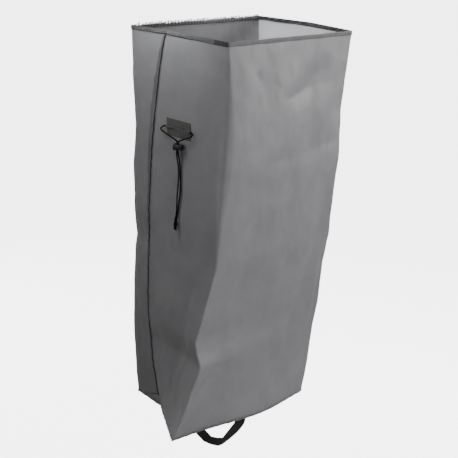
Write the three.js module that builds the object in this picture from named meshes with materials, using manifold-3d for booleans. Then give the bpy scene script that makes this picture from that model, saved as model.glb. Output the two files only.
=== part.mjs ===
import * as THREE from "three";
import { mergeVertices } from "three/addons/utils/BufferGeometryUtils.js";
import Module from "manifold-3d";

// A tall open cloth sack that hangs from its mouth, with a handle strap under its base and a
// drawcord, cord lock and knot on its left panel.
// Millimetres, +Z up. The origin is the middle of the mouth, on top of the rim tape.
// +X runs along the broad panels and -Y faces the front.

// Sack
const MOUTH_WIDTH = 445;
const MOUTH_DEPTH = 285;
const SACK_HEIGHT = 900;
const CLOTH = 1.5;
const SEWING_GAP = 0.3;

// The base hangs sheared and a little turned under the mouth
const BASE_WIDTH = 444;
const BASE_DEPTH = 278;
const BASE_TURN = -4;
const BASE_LEAN = 29.2;

// Tape folded over the rim, gathered along the back panel
const TAPE_HEIGHT = 10;
const TAPE_THICKNESS = 1;
const GATHER_PITCH = 11;
const GATHER_DEPTH = 2.4;
const STEPS_A_GATHER = 3;

// Seam flap down the left panel
const FLAP_THICKNESS = 1.2;
const FLAP_EDGE = 3;
const FLAP_WIDTH = 13;

// Tunnel of tape that the drawcord runs through
const TUNNEL_LENGTH = 77;
const TUNNEL_TAPE_HEIGHT = 38;
const TUNNEL_TAPE = 1.2;
const TUNNEL_DROP = 208.5;
const TUNNEL_FROM_SEAM = 84;
const TUNNEL_SKEW = 7;

// Drawcord, cord lock and knot
const CORD_DIAMETER = 3;
const CORD_CLEARANCE = 0.3;
const STRAND_GAP = 0.6;
const TUNNEL_CLEARANCE = 0.5;
const LOCK_CENTRE = [-227, -19.8, -244.4];
const LOCK_TURN = 20;
const BARREL_DIAMETER = 14;
const BARREL_WALL = 1.4;
const BARREL_MOUTH = 5.5;
const BARREL_END_WALL = 1.5;
const BARREL_FLANGE_DIAMETER = 16;
const BARREL_FLANGE_LENGTH = 3;
const PLUNGER_TRAVEL = 3;
const PLUNGER_END_WALL = 1.5;
const PLUNGER_CLEARANCE = 0.3;
const BUTTON_DIAMETER = 15;
const BUTTON_LENGTH = 3.5;
const KNOT_CENTRE = [-218.2, -18, -423.7];
const KNOT_DIAMETER = 10;
const KNOT_HEIGHT = 11;
const KNOT_TAIL = 9;
const KNOT_TAIL_SPREAD = 12;
const KNOT_WRAP_TILT = 24;

// Handle strap of webbing under the base
const STRAP_WIDTH = 25;
const STRAP_THICKNESS = 2;
const STRAP_SPAN = 290;
const STRAP_DROP = 148;

// Shape of the hanging cloth, a row for each level. drop is a share of SACK_HEIGHT. back, front
// and right are how far the left back, left front and right front folds drift sideways off the
// straight line from mouth to base. seamPull and bend push the seam and the right panel's middle
// out of the panel. soft and bow are the reach of the left front fold's rounding and the outward
// bow of the broad panels. All of these are shares of MOUTH_WIDTH. seamAlong is the seam's share
// of the way from the back fold to the front fold.
const LEVELS = [
  { drop: 0.0, back: 0, seamAlong: 0.325, seamPull: -0.034, front: 0, right: 0, bend: 0.063, soft: 0.012, bow: 0 },
  { drop: 0.055, back: 0.001, seamAlong: 0.285, seamPull: -0.027, front: 0.018, right: 0, bend: 0.06, soft: 0.02, bow: 0.002 },
  { drop: 0.11, back: 0.001, seamAlong: 0.26, seamPull: -0.02, front: 0.034, right: 0, bend: 0.056, soft: 0.035, bow: 0.005 },
  { drop: 0.16, back: 0.002, seamAlong: 0.24, seamPull: -0.013, front: 0.048, right: 0, bend: 0.053, soft: 0.05, bow: 0.008 },
  { drop: 0.21, back: 0.007, seamAlong: 0.22, seamPull: -0.006, front: 0.059, right: 0, bend: 0.05, soft: 0.06, bow: 0.01 },
  { drop: 0.25, back: 0.011, seamAlong: 0.208, seamPull: -0.002, front: 0.064, right: 0.009, bend: 0.047, soft: 0.065, bow: 0.012 },
  { drop: 0.29, back: 0.002, seamAlong: 0.212, seamPull: 0.002, front: 0.069, right: 0.015, bend: 0.044, soft: 0.065, bow: 0.013 },
  { drop: 0.33, back: -0.005, seamAlong: 0.218, seamPull: 0.006, front: 0.074, right: 0.022, bend: 0.042, soft: 0.06, bow: 0.014 },
  { drop: 0.38, back: -0.007, seamAlong: 0.219, seamPull: 0.008, front: 0.079, right: 0.022, bend: 0.039, soft: 0.05, bow: 0.014 },
  { drop: 0.43, back: -0.004, seamAlong: 0.213, seamPull: 0.01, front: 0.084, right: 0.022, bend: 0.036, soft: 0.04, bow: 0.013 },
  { drop: 0.48, back: 0.0, seamAlong: 0.205, seamPull: 0.012, front: 0.091, right: 0.025, bend: 0.033, soft: 0.032, bow: 0.012 },
  { drop: 0.54, back: 0.012, seamAlong: 0.188, seamPull: 0.013, front: 0.098, right: 0.029, bend: 0.029, soft: 0.028, bow: 0.01 },
  { drop: 0.575, back: 0.001, seamAlong: 0.21, seamPull: 0.012, front: 0.09, right: 0.025, bend: 0.027, soft: 0.026, bow: 0.008 },
  { drop: 0.62, back: -0.006, seamAlong: 0.226, seamPull: 0.011, front: 0.079, right: 0.017, bend: 0.024, soft: 0.025, bow: 0.006 },
  { drop: 0.68, back: -0.012, seamAlong: 0.248, seamPull: 0.009, front: 0.066, right: 0.02, bend: 0.02, soft: 0.024, bow: 0.004 },
  { drop: 0.735, back: -0.016, seamAlong: 0.264, seamPull: 0.002, front: 0.049, right: 0.022, bend: 0.017, soft: 0.022, bow: 0.001 },
  { drop: 0.765, back: -0.018, seamAlong: 0.263, seamPull: -0.003, front: 0.063, right: 0.016, bend: 0.015, soft: 0.02, bow: -0.001 },
  { drop: 0.8, back: -0.019, seamAlong: 0.254, seamPull: -0.009, front: 0.094, right: 0.013, bend: 0.013, soft: 0.02, bow: -0.003 },
  { drop: 0.845, back: -0.017, seamAlong: 0.27, seamPull: -0.018, front: 0.072, right: 0.012, bend: 0.01, soft: 0.018, bow: -0.004 },
  { drop: 0.89, back: -0.014, seamAlong: 0.29, seamPull: -0.028, front: 0.051, right: 0.01, bend: 0.007, soft: 0.016, bow: -0.004 },
  { drop: 0.945, back: -0.008, seamAlong: 0.305, seamPull: -0.045, front: 0.031, right: 0.006, bend: 0.004, soft: 0.014, bow: -0.002 },
  { drop: 1.0, back: 0, seamAlong: 0.352, seamPull: -0.064, front: 0, right: 0, bend: 0, soft: 0.012, bow: 0 },
];

// Direction in which the folds drift, in degrees from +X
const DRIFT_DIRECTION = -49.2;

// Stretches of cloth round the sack, in order, each with the fold that it starts at, how many
// steps its flat part takes and its share of the level's bow
const STRETCHES = [
  { fold: "leftBack", steps: 3, bow: 0, roundSteps: 2, sharp: true },
  { fold: "seam", steps: 7, bow: 0.3, roundSteps: 2, sharp: true },
  { fold: "leftFront", steps: 13, bow: 0.5, roundSteps: 4, sharp: false },
  { fold: "rightFront", steps: 5, bow: 0, roundSteps: 2, sharp: true },
  { fold: "rightBend", steps: 5, bow: 0, roundSteps: 2, sharp: true },
  { fold: "rightBack", steps: 13, bow: 1, roundSteps: 2, sharp: true },
];
const SHARP_FOLD_REACH = 4;

// Soft dents and creases in the flat stretches, a row each. across is the share of the stretch,
// drop the share of SACK_HEIGHT, slant how far across it moves with each unit of drop, wide and
// tall its reach as shares of the stretch and of SACK_HEIGHT, and push its outward size as a
// share of MOUTH_WIDTH
const DENTS = [
  { fold: "leftFront", across: 0.68, drop: 0.12, slant: -2.2, wide: 0.11, tall: 0.05, push: -0.014 },
  { fold: "leftFront", across: 0.82, drop: 0.2, slant: 0, wide: 0.12, tall: 0.05, push: 0.009 },
  { fold: "leftFront", across: 0.86, drop: 0.62, slant: -0.5, wide: 0.06, tall: 0.14, push: -0.012 },
  { fold: "leftFront", across: 0.3, drop: 0.72, slant: 0.6, wide: 0.16, tall: 0.09, push: -0.01 },
  { fold: "leftFront", across: 0.1, drop: 0.9, slant: -1.2, wide: 0.06, tall: 0.06, push: 0.011 },
  { fold: "leftFront", across: 0.62, drop: 1.0, slant: 0, wide: 0.34, tall: 0.09, push: 0.055 },
  { fold: "seam", across: 0.45, drop: 0.5, slant: 0.2, wide: 0.25, tall: 0.12, push: -0.008 },
  { fold: "seam", across: 0.6, drop: 0.78, slant: 0, wide: 0.25, tall: 0.1, push: -0.014 },
  { fold: "rightBack", across: 0.5, drop: 0.35, slant: 0.4, wide: 0.16, tall: 0.12, push: 0.016 },
  { fold: "rightBack", across: 0.25, drop: 0.7, slant: -0.5, wide: 0.12, tall: 0.14, push: -0.016 },
  { fold: "rightFront", across: 0.5, drop: 0.45, slant: 0, wide: 0.3, tall: 0.12, push: -0.01 },
  { fold: "rightBend", across: 0.5, drop: 0.65, slant: 0, wide: 0.3, tall: 0.14, push: 0.012 },
];

// Width of the seam flap down its length, a row for each change: drop is a share of SACK_HEIGHT
// and width a share of FLAP_WIDTH
const FLAP_SECTIONS = [
  { drop: 0.014, width: 0.5 },
  { drop: 0.1, width: 0.8 },
  { drop: 0.2, width: 1 },
  { drop: 0.3, width: 0.85 },
  { drop: 0.38, width: 0.6 },
  { drop: 0.55, width: 0.5 },
  { drop: 0.7, width: 0.45 },
  { drop: 0.968, width: 0.42 },
];

// Centre line of the handle strap, a row for each bend: along is a share of STRAP_SPAN from the
// base's middle, drop a share of STRAP_DROP, and roll how far the webbing is twisted about its
// length, in degrees. It is sewn with half a turn in it, so one face shows all the way round.
const STRAP_SECTIONS = [
  { along: -0.5, drop: 0, roll: 0 },
  { along: -0.37, drop: 0, roll: 0 },
  { along: -0.355, drop: 0.04, roll: -4 },
  { along: -0.31, drop: 0.33, roll: -28 },
  { along: -0.227, drop: 0.62, roll: -46 },
  { along: -0.13, drop: 0.815, roll: -50 },
  { along: -0.045, drop: 0.91, roll: -64 },
  { along: 0.04, drop: 0.985, roll: -76 },
  { along: 0.08, drop: 0.985, roll: -80 },
  { along: 0.158, drop: 0.927, roll: -97 },
  { along: 0.25, drop: 0.845, roll: -116 },
  { along: 0.303, drop: 0.769, roll: -122 },
  { along: 0.343, drop: 0.45, roll: -148 },
  { along: 0.36, drop: 0.04, roll: -176 },
  { along: 0.375, drop: 0, roll: -180 },
  { along: 0.5, drop: 0, roll: -180 },
];
const STRAP_TWIST_STEP = 5;

// Centre lines of the drawcord's two strands, as x, y, z. Each starts in the tunnel, turns back at
// its mouth, runs down through the lock and hangs to the knot.
const LEFT_STRAND = [
  [-212.4, 22, -208.5],
  [-211.7, 30, -208.5],
  [-211.6, 35, -208.5],
  [-212.9, 39, -209.9],
  [-216, 41.4, -212.9],
  [-219, 40.3, -215.9],
  [-220.6, 36.2, -217.5],
  [-222.3, 27, -219.9],
  [-224.2, 13, -223.4],
  [-226.3, -2, -226.6],
  [-228, -12.6, -228.6],
  [-228.8, -18.4, -231.3],
  [-228.8, -20.4, -236.4],
  [-228.8, -20.4, -243],
  [-228.8, -20.4, -251],
  [-228.4, -20, -259],
  [-226.6, -20, -268],
  [-224.6, -20.9, -278],
  [-223, -22.4, -292],
  [-222.3, -23.4, -307],
  [-222.1, -23.2, -322],
  [-222, -22.6, -338],
  [-221.6, -21.6, -354],
  [-220.5, -20.8, -370],
  [-219.6, -20.4, -386],
  [-219.2, -19.1, -402],
  [-219.2, -16.9, -412],
  [-219.2, -16.8, -417.9],
];
const RIGHT_STRAND = [
  [-216.2, -34, -208.5],
  [-216.7, -43, -208.5],
  [-216.9, -49, -208.5],
  [-218.4, -53, -209.9],
  [-221.5, -55.4, -212.9],
  [-224.4, -54.3, -216],
  [-225.6, -50.6, -218.4],
  [-225.8, -43, -222],
  [-225.6, -34.4, -225.6],
  [-225.2, -26.6, -228.6],
  [-225.2, -21.3, -231.4],
  [-225.2, -19.2, -236.4],
  [-225.2, -19.2, -243],
  [-225.2, -19.2, -251],
  [-224.4, -20.4, -259],
  [-223.2, -22.8, -268],
  [-222.2, -24.2, -278],
  [-220.9, -25.4, -292],
  [-220.2, -26.3, -307],
  [-219.3, -26.8, -322],
  [-218.5, -27.2, -338],
  [-217.9, -26.3, -354],
  [-217.6, -24.3, -370],
  [-217.4, -23, -386],
  [-217.2, -21.6, -402],
  [-217.2, -19.5, -412],
  [-217.2, -19.2, -417.9],
];
const STRAND_SIDES = 8;
const STRAND_STEP = 2 * CORD_DIAMETER;

// Outline of the knot's body, a row for each ring: radius is a share of half of KNOT_DIAMETER and
// height a share of half of KNOT_HEIGHT
const KNOT_RINGS = [
  { radius: 0.55, height: -1 },
  { radius: 0.9, height: -0.5 },
  { radius: 0.9, height: 0.4 },
  { radius: 0.72, height: 1 },
];

const radians = THREE.MathUtils.degToRad;

// Closed meshes

/** A mesh geometry from points and triangles, turned so that its faces point out. */
function closedGeometry(points, triangles) {
  let volume = 0;
  for (const [a, b, c] of triangles) {
    volume += points[a].dot(points[b].clone().cross(points[c]));
  }
  const corners = [];
  for (const [a, b, c] of triangles) {
    const order = volume > 0 ? [a, b, c] : [a, c, b];
    for (const index of order) corners.push(points[index].x, points[index].y, points[index].z);
  }
  const geometry = new THREE.BufferGeometry();
  geometry.setAttribute("position", new THREE.Float32BufferAttribute(corners, 3));
  geometry.computeVertexNormals();
  return geometry;
}

/** Joins sections of equal length into one skin. The sections close into a ring, or have ends. */
function loft(sections, { ring = false, profile = null } = {}) {
  const count = sections[0].length;
  const points = sections.flat();
  const triangles = [];
  const bands = ring ? sections.length : sections.length - 1;
  for (let i = 0; i < bands; i += 1) {
    const next = (i + 1) % sections.length;
    for (let j = 0; j < count; j += 1) {
      const k = (j + 1) % count;
      triangles.push([i * count + j, next * count + j, next * count + k]);
      triangles.push([i * count + j, next * count + k, i * count + k]);
    }
  }
  if (!ring) {
    const faces = THREE.ShapeUtils.triangulateShape(profile, []);
    const last = (sections.length - 1) * count;
    for (const [a, b, c] of faces) {
      triangles.push([a, b, c]);
      triangles.push([last + a, last + c, last + b]);
    }
  }
  return closedGeometry(points, triangles);
}

/** A regular polygon, which closes the ends of any convex section with as many corners. */
function evenPolygon(corners) {
  return Array.from({ length: corners }, (_, i) => {
    const angle = (2 * Math.PI * i) / corners;
    return new THREE.Vector2(Math.cos(angle), Math.sin(angle));
  });
}

/** Value of a table's column at a drop, on straight lines between its rows. */
function columnValue(table, column, drop) {
  const next = table.findIndex((row) => row.drop >= drop);
  if (next <= 0) return table[next === 0 ? 0 : table.length - 1][column];
  const low = table[next - 1];
  const high = table[next];
  return low[column] + ((high[column] - low[column]) * (drop - low.drop)) / (high.drop - low.drop);
}

// Cloth of the sack

/** The four corners of the mouth or of the base, by fold. */
function cornerFolds(width, depth, turn, lean) {
  const along = new THREE.Vector2(width / 2, 0).rotateAround(new THREE.Vector2(), radians(turn));
  const back = new THREE.Vector2(0, depth / 2).rotateAround(new THREE.Vector2(), radians(-lean));
  return {
    leftBack: back.clone().sub(along),
    leftFront: back.clone().add(along).negate(),
    rightFront: along.clone().sub(back),
    rightBack: along.clone().add(back),
  };
}

const MOUTH_FOLDS = cornerFolds(MOUTH_WIDTH, MOUTH_DEPTH, 0, 0);
const BASE_FOLDS = cornerFolds(BASE_WIDTH, BASE_DEPTH, BASE_TURN, BASE_LEAN);
const drift = new THREE.Vector2(Math.cos(radians(DRIFT_DIRECTION)), Math.sin(radians(DRIFT_DIRECTION)));

/** Outward direction of the straight line from one point of a section to the next. */
function outward(from, to) {
  return new THREE.Vector2(to.y - from.y, from.x - to.x).normalize();
}

/** The section's folds at a level, as points seen from above. */
function foldsAt(level) {
  const folds = {};
  for (const name of ["leftBack", "leftFront", "rightFront", "rightBack"]) {
    folds[name] = MOUTH_FOLDS[name].clone().lerp(BASE_FOLDS[name], level.drop);
  }
  folds.leftBack.addScaledVector(drift, level.back * MOUTH_WIDTH);
  folds.leftFront.addScaledVector(drift, level.front * MOUTH_WIDTH);
  folds.rightFront.addScaledVector(drift, level.right * MOUTH_WIDTH);
  folds.seam = folds.leftBack.clone().lerp(folds.leftFront, level.seamAlong);
  folds.seam.addScaledVector(outward(folds.leftBack, folds.leftFront), level.seamPull * MOUTH_WIDTH);
  folds.rightBend = folds.rightFront.clone().lerp(folds.rightBack, 0.5);
  folds.rightBend.addScaledVector(outward(folds.rightFront, folds.rightBack), level.bend * MOUTH_WIDTH);
  return folds;
}

/** How far the dents of a stretch push the cloth out at one spot. */
function dentPush(fold, across, drop) {
  let push = 0;
  for (const dent of DENTS) {
    if (dent.fold !== fold) continue;
    const side = (across - dent.across - dent.slant * (drop - dent.drop)) / dent.wide;
    const height = (drop - dent.drop) / dent.tall;
    push += dent.push * MOUTH_WIDTH * Math.exp(-side * side - height * height);
  }
  return push;
}

/** The outer outline of the cloth at a level: points in order round the sack, from above. */
function outlineAt(level) {
  const folds = foldsAt(level);
  const count = STRETCHES.length;
  const corner = (i) => folds[STRETCHES[(i + count) % count].fold];
  const reach = (i) => (STRETCHES[(i + count) % count].sharp ? SHARP_FOLD_REACH : level.soft * MOUTH_WIDTH);
  const outline = [];
  STRETCHES.forEach((stretch, i) => {
    const here = corner(i);
    const next = corner(i + 1);
    const before = here.clone().add(corner(i - 1).clone().sub(here).setLength(reach(i)));
    const start = here.clone().add(next.clone().sub(here).setLength(reach(i)));
    const end = next.clone().add(here.clone().sub(next).setLength(reach(i + 1)));
    const round = new THREE.QuadraticBezierCurve(before, here, start);
    for (let k = 0; k < stretch.roundSteps; k += 1) outline.push(round.getPoint(k / stretch.roundSteps));
    const out = outward(here, next);
    for (let k = 0; k < stretch.steps; k += 1) {
      const across = k / stretch.steps;
      const fade = 4 * across * (1 - across);
      const bow = fade * stretch.bow * level.bow * MOUTH_WIDTH;
      const dent = Math.sqrt(fade) * dentPush(stretch.fold, across, level.drop);
      outline.push(start.clone().lerp(end, across).addScaledVector(out, bow + dent));
    }
  });
  return outline;
}

/** An outline moved inwards by a distance, corner for corner. */
function insetOutline(outline, distance) {
  return outline.map((point, i) => {
    const before = outward(outline.at(i - 1), point);
    const after = outward(point, outline[(i + 1) % outline.length]);
    const middle = before.clone().add(after).normalize();
    return point.clone().addScaledVector(middle, -distance / middle.dot(after));
  });
}

const CLOTH_TOP = -(TAPE_THICKNESS + SEWING_GAP + GATHER_DEPTH);
const CLOTH_BOTTOM = -SACK_HEIGHT + CLOTH + SEWING_GAP;
const LEVEL_OUTLINES = LEVELS.map((level) => outlineAt(level));
const LEVEL_HEIGHTS = LEVELS.map((level) => Math.min(CLOTH_TOP, Math.max(CLOTH_BOTTOM, -level.drop * SACK_HEIGHT)));
const COLUMNS = LEVEL_OUTLINES[0].length;

/** Index of the middle of a fold in the outline. */
function foldColumn(name) {
  let column = 0;
  for (const stretch of STRETCHES) {
    if (stretch.fold === name) return column + stretch.roundSteps / 2;
    column += stretch.roundSteps + stretch.steps;
  }
  return column;
}

/** Place and outward direction on the sack's outer face, at a column between two and a height. */
function onWall(column, z) {
  const row = Math.max(1, LEVEL_HEIGHTS.findIndex((height) => height <= z));
  const share = (LEVEL_HEIGHTS[row - 1] - z) / (LEVEL_HEIGHTS[row - 1] - LEVEL_HEIGHTS[row]);
  const spot = (position) => {
    const whole = Math.floor(position);
    const part = position - whole;
    const corners = [row - 1, row].map((level) => {
      const outline = LEVEL_OUTLINES[level];
      const low = outline[((whole % COLUMNS) + COLUMNS) % COLUMNS];
      const high = outline[(((whole + 1) % COLUMNS) + COLUMNS) % COLUMNS];
      const flat = low.clone().lerp(high, part);
      return new THREE.Vector3(flat.x, flat.y, LEVEL_HEIGHTS[level]);
    });
    return { point: corners[0].clone().lerp(corners[1], share), down: corners[1].clone().sub(corners[0]) };
  };
  const half = 0.5;
  const here = spot(column);
  const along = spot(column + half).point.sub(spot(column - half).point);
  const normal = here.down.clone().cross(along).normalize();
  return { point: here.point, normal };
}

const COLUMN_STEP = 0.05;

/** Column that lies a distance along the cloth from a fold, towards the next fold or back. */
function columnAlong(fold, distance, z) {
  const step = Math.sign(distance) * COLUMN_STEP;
  let column = foldColumn(fold);
  let walked = 0;
  while (walked < Math.abs(distance)) {
    walked += onWall(column + step, z).point.distanceTo(onWall(column, z).point);
    column += step;
  }
  return column;
}

/** Sack walls: one folded tube of cloth, open at the top and the bottom. */
function sackWalls() {
  const inner = LEVEL_OUTLINES.map((outline) => insetOutline(outline, CLOTH));
  const sections = [];
  for (let column = 0; column < COLUMNS; column += 1) {
    const outside = LEVEL_OUTLINES.map((outline, i) => [outline[column], LEVEL_HEIGHTS[i]]);
    const inside = inner.map((outline, i) => [outline[column], LEVEL_HEIGHTS[i]]).reverse();
    sections.push([...outside, ...inside].map(([flat, z]) => new THREE.Vector3(flat.x, flat.y, z)));
  }
  return loft(sections, { ring: true });
}

/** Base panel: a flat sheet with the outline of the lowest level. */
function basePanel() {
  const shape = new THREE.Shape(LEVEL_OUTLINES.at(-1));
  const geometry = new THREE.ExtrudeGeometry(shape, { depth: CLOTH, bevelEnabled: false });
  return geometry.translate(0, 0, -SACK_HEIGHT);
}

// Rim tape

/** Outline points with the back panel's part divided for its gathers. */
function tapeStations() {
  const outline = LEVEL_OUTLINES[0];
  const firstBack = Math.ceil(foldColumn("rightBack")) + 1;
  const stations = [];
  const back = outline[firstBack].distanceTo(outline[0]);
  const gathers = Math.round(back / GATHER_PITCH);
  const stepsEach = Math.max(1, Math.round((gathers * STEPS_A_GATHER) / (COLUMNS - firstBack)));
  for (let column = 0; column < COLUMNS; column += 1) {
    const steps = column >= firstBack ? stepsEach : 1;
    for (let k = 0; k < steps; k += 1) stations.push({ column: column + k / steps, onBack: column >= firstBack });
  }
  return stations;
}

/** Rim tape: a strip folded over the cloth's edge, outside and inside, and gathered at the back. */
function rimTape() {
  const away = SEWING_GAP + TAPE_THICKNESS;
  const rings = [-away, -SEWING_GAP, CLOTH + SEWING_GAP, CLOTH + away].map((inset) =>
    [0, 1].map((level) => insetOutline(LEVEL_OUTLINES[level], inset)),
  );
  const at = (ring, column, z) => {
    const whole = Math.floor(column);
    const share = (LEVEL_HEIGHTS[0] - Math.min(z, LEVEL_HEIGHTS[0])) / (LEVEL_HEIGHTS[0] - LEVEL_HEIGHTS[1]);
    const [high, low] = ring.map((outline) =>
      outline[whole].clone().lerp(outline[(whole + 1) % COLUMNS], column - whole),
    );
    const flat = high.lerp(low, share);
    return new THREE.Vector3(flat.x, flat.y, z);
  };
  let walked = 0;
  let last = null;
  const sections = tapeStations().map(({ column, onBack }) => {
    const here = at(rings[0], column, 0);
    if (onBack && last) walked += here.distanceTo(last);
    last = onBack ? here : null;
    const dip = onBack ? GATHER_DEPTH * Math.abs(Math.sin((Math.PI * walked) / GATHER_PITCH)) : 0;
    const ceiling = -TAPE_THICKNESS - dip;
    return [
      at(rings[0], column, -TAPE_HEIGHT),
      at(rings[0], column, -dip),
      at(rings[3], column, -dip),
      at(rings[3], column, -TAPE_HEIGHT),
      at(rings[2], column, -TAPE_HEIGHT),
      at(rings[2], column, ceiling),
      at(rings[1], column, ceiling),
      at(rings[1], column, -TAPE_HEIGHT),
    ];
  });
  return loft(sections, { ring: true });
}

// Seam flap and cord tunnel, both laid on the left panel

/** Seam flap: the folded allowance of the seam, with a thick rolled edge. */
function seamFlap() {
  const highest = -TAPE_HEIGHT - 2 * SEWING_GAP;
  const lowest = -FLAP_SECTIONS.at(-1).drop * SACK_HEIGHT;
  const levels = LEVEL_HEIGHTS.filter((z) => z < highest && z > lowest);
  const stops = [highest, ...levels, lowest];
  const heights = stops.flatMap((z, i) => (i < stops.length - 1 ? [z, (z + stops[i + 1]) / 2] : [z]));
  const fold = foldColumn("seam");
  const sections = heights.map((z) => {
    const width = columnValue(FLAP_SECTIONS, "width", -z / SACK_HEIGHT) * FLAP_WIDTH;
    const edges = [fold, fold - 1, columnAlong("seam", -width, z)].map((column) => onWall(column, z));
    const tops = [FLAP_EDGE, FLAP_THICKNESS, FLAP_THICKNESS];
    const above = edges.map(({ point, normal }, k) => point.clone().addScaledVector(normal, SEWING_GAP + tops[k]));
    const below = edges.map(({ point, normal }) => point.clone().addScaledVector(normal, SEWING_GAP));
    return [...above, ...below.reverse()];
  });
  return loft(sections, { profile: evenPolygon(sections[0].length) });
}

const TUNNEL_STEPS = 6;
const TUNNEL_ARCH_STEPS = 6;

/** Cord tunnel: a flat strip of tape that arches over the cord along its middle. */
function cordTunnel() {
  const inside = CORD_DIAMETER / 2 + TUNNEL_CLEARANCE;
  const crown = CORD_DIAMETER + 2 * TUNNEL_CLEARANCE;
  const outside = inside + TUNNEL_TAPE;
  const half = TUNNEL_TAPE_HEIGHT / 2;
  const arch = (reach, top, from) => {
    const points = [];
    for (let k = 0; k <= TUNNEL_ARCH_STEPS; k += 1) {
      const angle = Math.PI * (from + ((1 - 2 * from) * k) / TUNNEL_ARCH_STEPS);
      points.push(new THREE.Vector2(reach * Math.cos(angle), top * Math.sin(angle)));
    }
    return points;
  };
  const outerArch = arch(outside, crown + TUNNEL_TAPE, 0);
  outerArch[0].y = TUNNEL_TAPE;
  outerArch.at(-1).y = TUNNEL_TAPE;
  const profile = [
    new THREE.Vector2(half, 0),
    new THREE.Vector2(half, TUNNEL_TAPE),
    ...outerArch,
    new THREE.Vector2(-half, TUNNEL_TAPE),
    new THREE.Vector2(-half, 0),
    ...arch(inside, crown, 1),
  ];
  const sections = [];
  for (let i = 0; i <= TUNNEL_STEPS; i += 1) {
    const distance = TUNNEL_FROM_SEAM + TUNNEL_LENGTH * (i / TUNNEL_STEPS - 0.5);
    sections.push(
      profile.map(({ x, y }) => {
        const z = -TUNNEL_DROP + x;
        const skewed = distance - (TUNNEL_SKEW * x) / TUNNEL_TAPE_HEIGHT;
        const { point, normal } = onWall(columnAlong("seam", skewed, -TUNNEL_DROP), z);
        return point.addScaledVector(normal, SEWING_GAP + y);
      }),
    );
  }
  return loft(sections, { profile });
}

// Drawcord, cord lock and knot

const wasm = await Module();
wasm.setup();

/** A solid for cuts and joins, from a closed geometry. */
function solidOf(geometry) {
  const bare = geometry.clone();
  bare.deleteAttribute("normal");
  bare.deleteAttribute("uv");
  const merged = mergeVertices(bare);
  const vertProperties = new Float32Array(merged.attributes.position.array);
  const triVerts = new Uint32Array(merged.index.array);
  return new wasm.Manifold(new wasm.Mesh({ numProp: 3, vertProperties, triVerts }));
}

/** A geometry from a solid. */
function geometryOf(solid) {
  const mesh = solid.getMesh();
  const geometry = new THREE.BufferGeometry();
  geometry.setAttribute("position", new THREE.BufferAttribute(new Float32Array(mesh.vertProperties), 3));
  geometry.setIndex(new THREE.BufferAttribute(new Uint32Array(mesh.triVerts), 1));
  const flat = geometry.toNonIndexed();
  flat.computeVertexNormals();
  return flat;
}

/** A round solid about the Y axis, from radii and heights that start and end on the axis. */
function turned(profile, sides) {
  return new THREE.LatheGeometry(profile.map(([radius, y]) => new THREE.Vector2(radius, y)), sides);
}

/** One strand of the drawcord along its points. */
function strand(route) {
  const curve = new THREE.CatmullRomCurve3(route.map((point) => new THREE.Vector3(...point)), false, "centripetal");
  const section = new THREE.Shape(
    evenPolygon(STRAND_SIDES).map((corner) => corner.multiplyScalar(CORD_DIAMETER / 2)),
  );
  const steps = Math.round(curve.getLength() / STRAND_STEP);
  return new THREE.ExtrudeGeometry(section, { steps, extrudePath: curve, bevelEnabled: false });
}

// The lock's own axis is Y: the barrel's closed end is at +Y and the button at -Y. The cord goes
// through along Z, one strand behind the other in X.
const CORD_SLOT_X = 2 * CORD_DIAMETER + STRAND_GAP + 2 * CORD_CLEARANCE;
const CORD_SLOT_Y = CORD_DIAMETER + 2 * CORD_CLEARANCE;
const BARREL_BORE_DIAMETER = BARREL_DIAMETER - 2 * BARREL_WALL;
const SHANK_DIAMETER = BARREL_BORE_DIAMETER - 2 * PLUNGER_CLEARANCE;
const SHANK_END = CORD_SLOT_Y / 2 + PLUNGER_END_WALL;
const BORE_END = SHANK_END + PLUNGER_TRAVEL + PLUNGER_CLEARANCE;
const BUTTON_FACE = -BARREL_MOUTH - PLUNGER_TRAVEL - PLUNGER_CLEARANCE;
const LOCK_SIDES = 20;
const KNOT_SIDES = 12;

/** Lock barrel: a cup with a flanged closed end and a slot through it for the cord. */
function lockBarrel() {
  const radius = BARREL_DIAMETER / 2;
  const bore = BARREL_BORE_DIAMETER / 2;
  const flange = BARREL_FLANGE_DIAMETER / 2;
  const end = BORE_END + BARREL_END_WALL;
  const chamfer = BARREL_WALL / 2;
  const cup = turned(
    [
      [0, BORE_END],
      [bore, BORE_END],
      [bore, -BARREL_MOUTH],
      [radius - chamfer, -BARREL_MOUTH],
      [radius, -BARREL_MOUTH + chamfer],
      [radius, end - BARREL_FLANGE_LENGTH],
      [flange, end - BARREL_FLANGE_LENGTH],
      [flange, end - chamfer],
      [flange - chamfer, end],
      [0, end],
    ],
    LOCK_SIDES,
  );
  const slot = new THREE.BoxGeometry(CORD_SLOT_X, CORD_SLOT_Y, 2 * BARREL_DIAMETER);
  return geometryOf(solidOf(cup).subtract(solidOf(slot)));
}

/** Lock plunger: a shank with a slot as long as its travel, and a button on its end. */
function lockPlunger() {
  const shank = SHANK_DIAMETER / 2;
  const button = BUTTON_DIAMETER / 2;
  const low = BUTTON_FACE - BUTTON_LENGTH;
  const chamfer = BUTTON_LENGTH / 4;
  const pin = turned(
    [
      [0, low],
      [button - chamfer, low],
      [button, low + chamfer],
      [button, BUTTON_FACE],
      [shank, BUTTON_FACE],
      [shank, SHANK_END],
      [0, SHANK_END],
    ],
    LOCK_SIDES,
  );
  const slot = new THREE.BoxGeometry(CORD_SLOT_X, CORD_SLOT_Y + PLUNGER_TRAVEL, 2 * BARREL_DIAMETER);
  slot.translate(0, -PLUNGER_TRAVEL / 2, 0);
  return geometryOf(solidOf(pin).subtract(solidOf(slot)));
}

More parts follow.
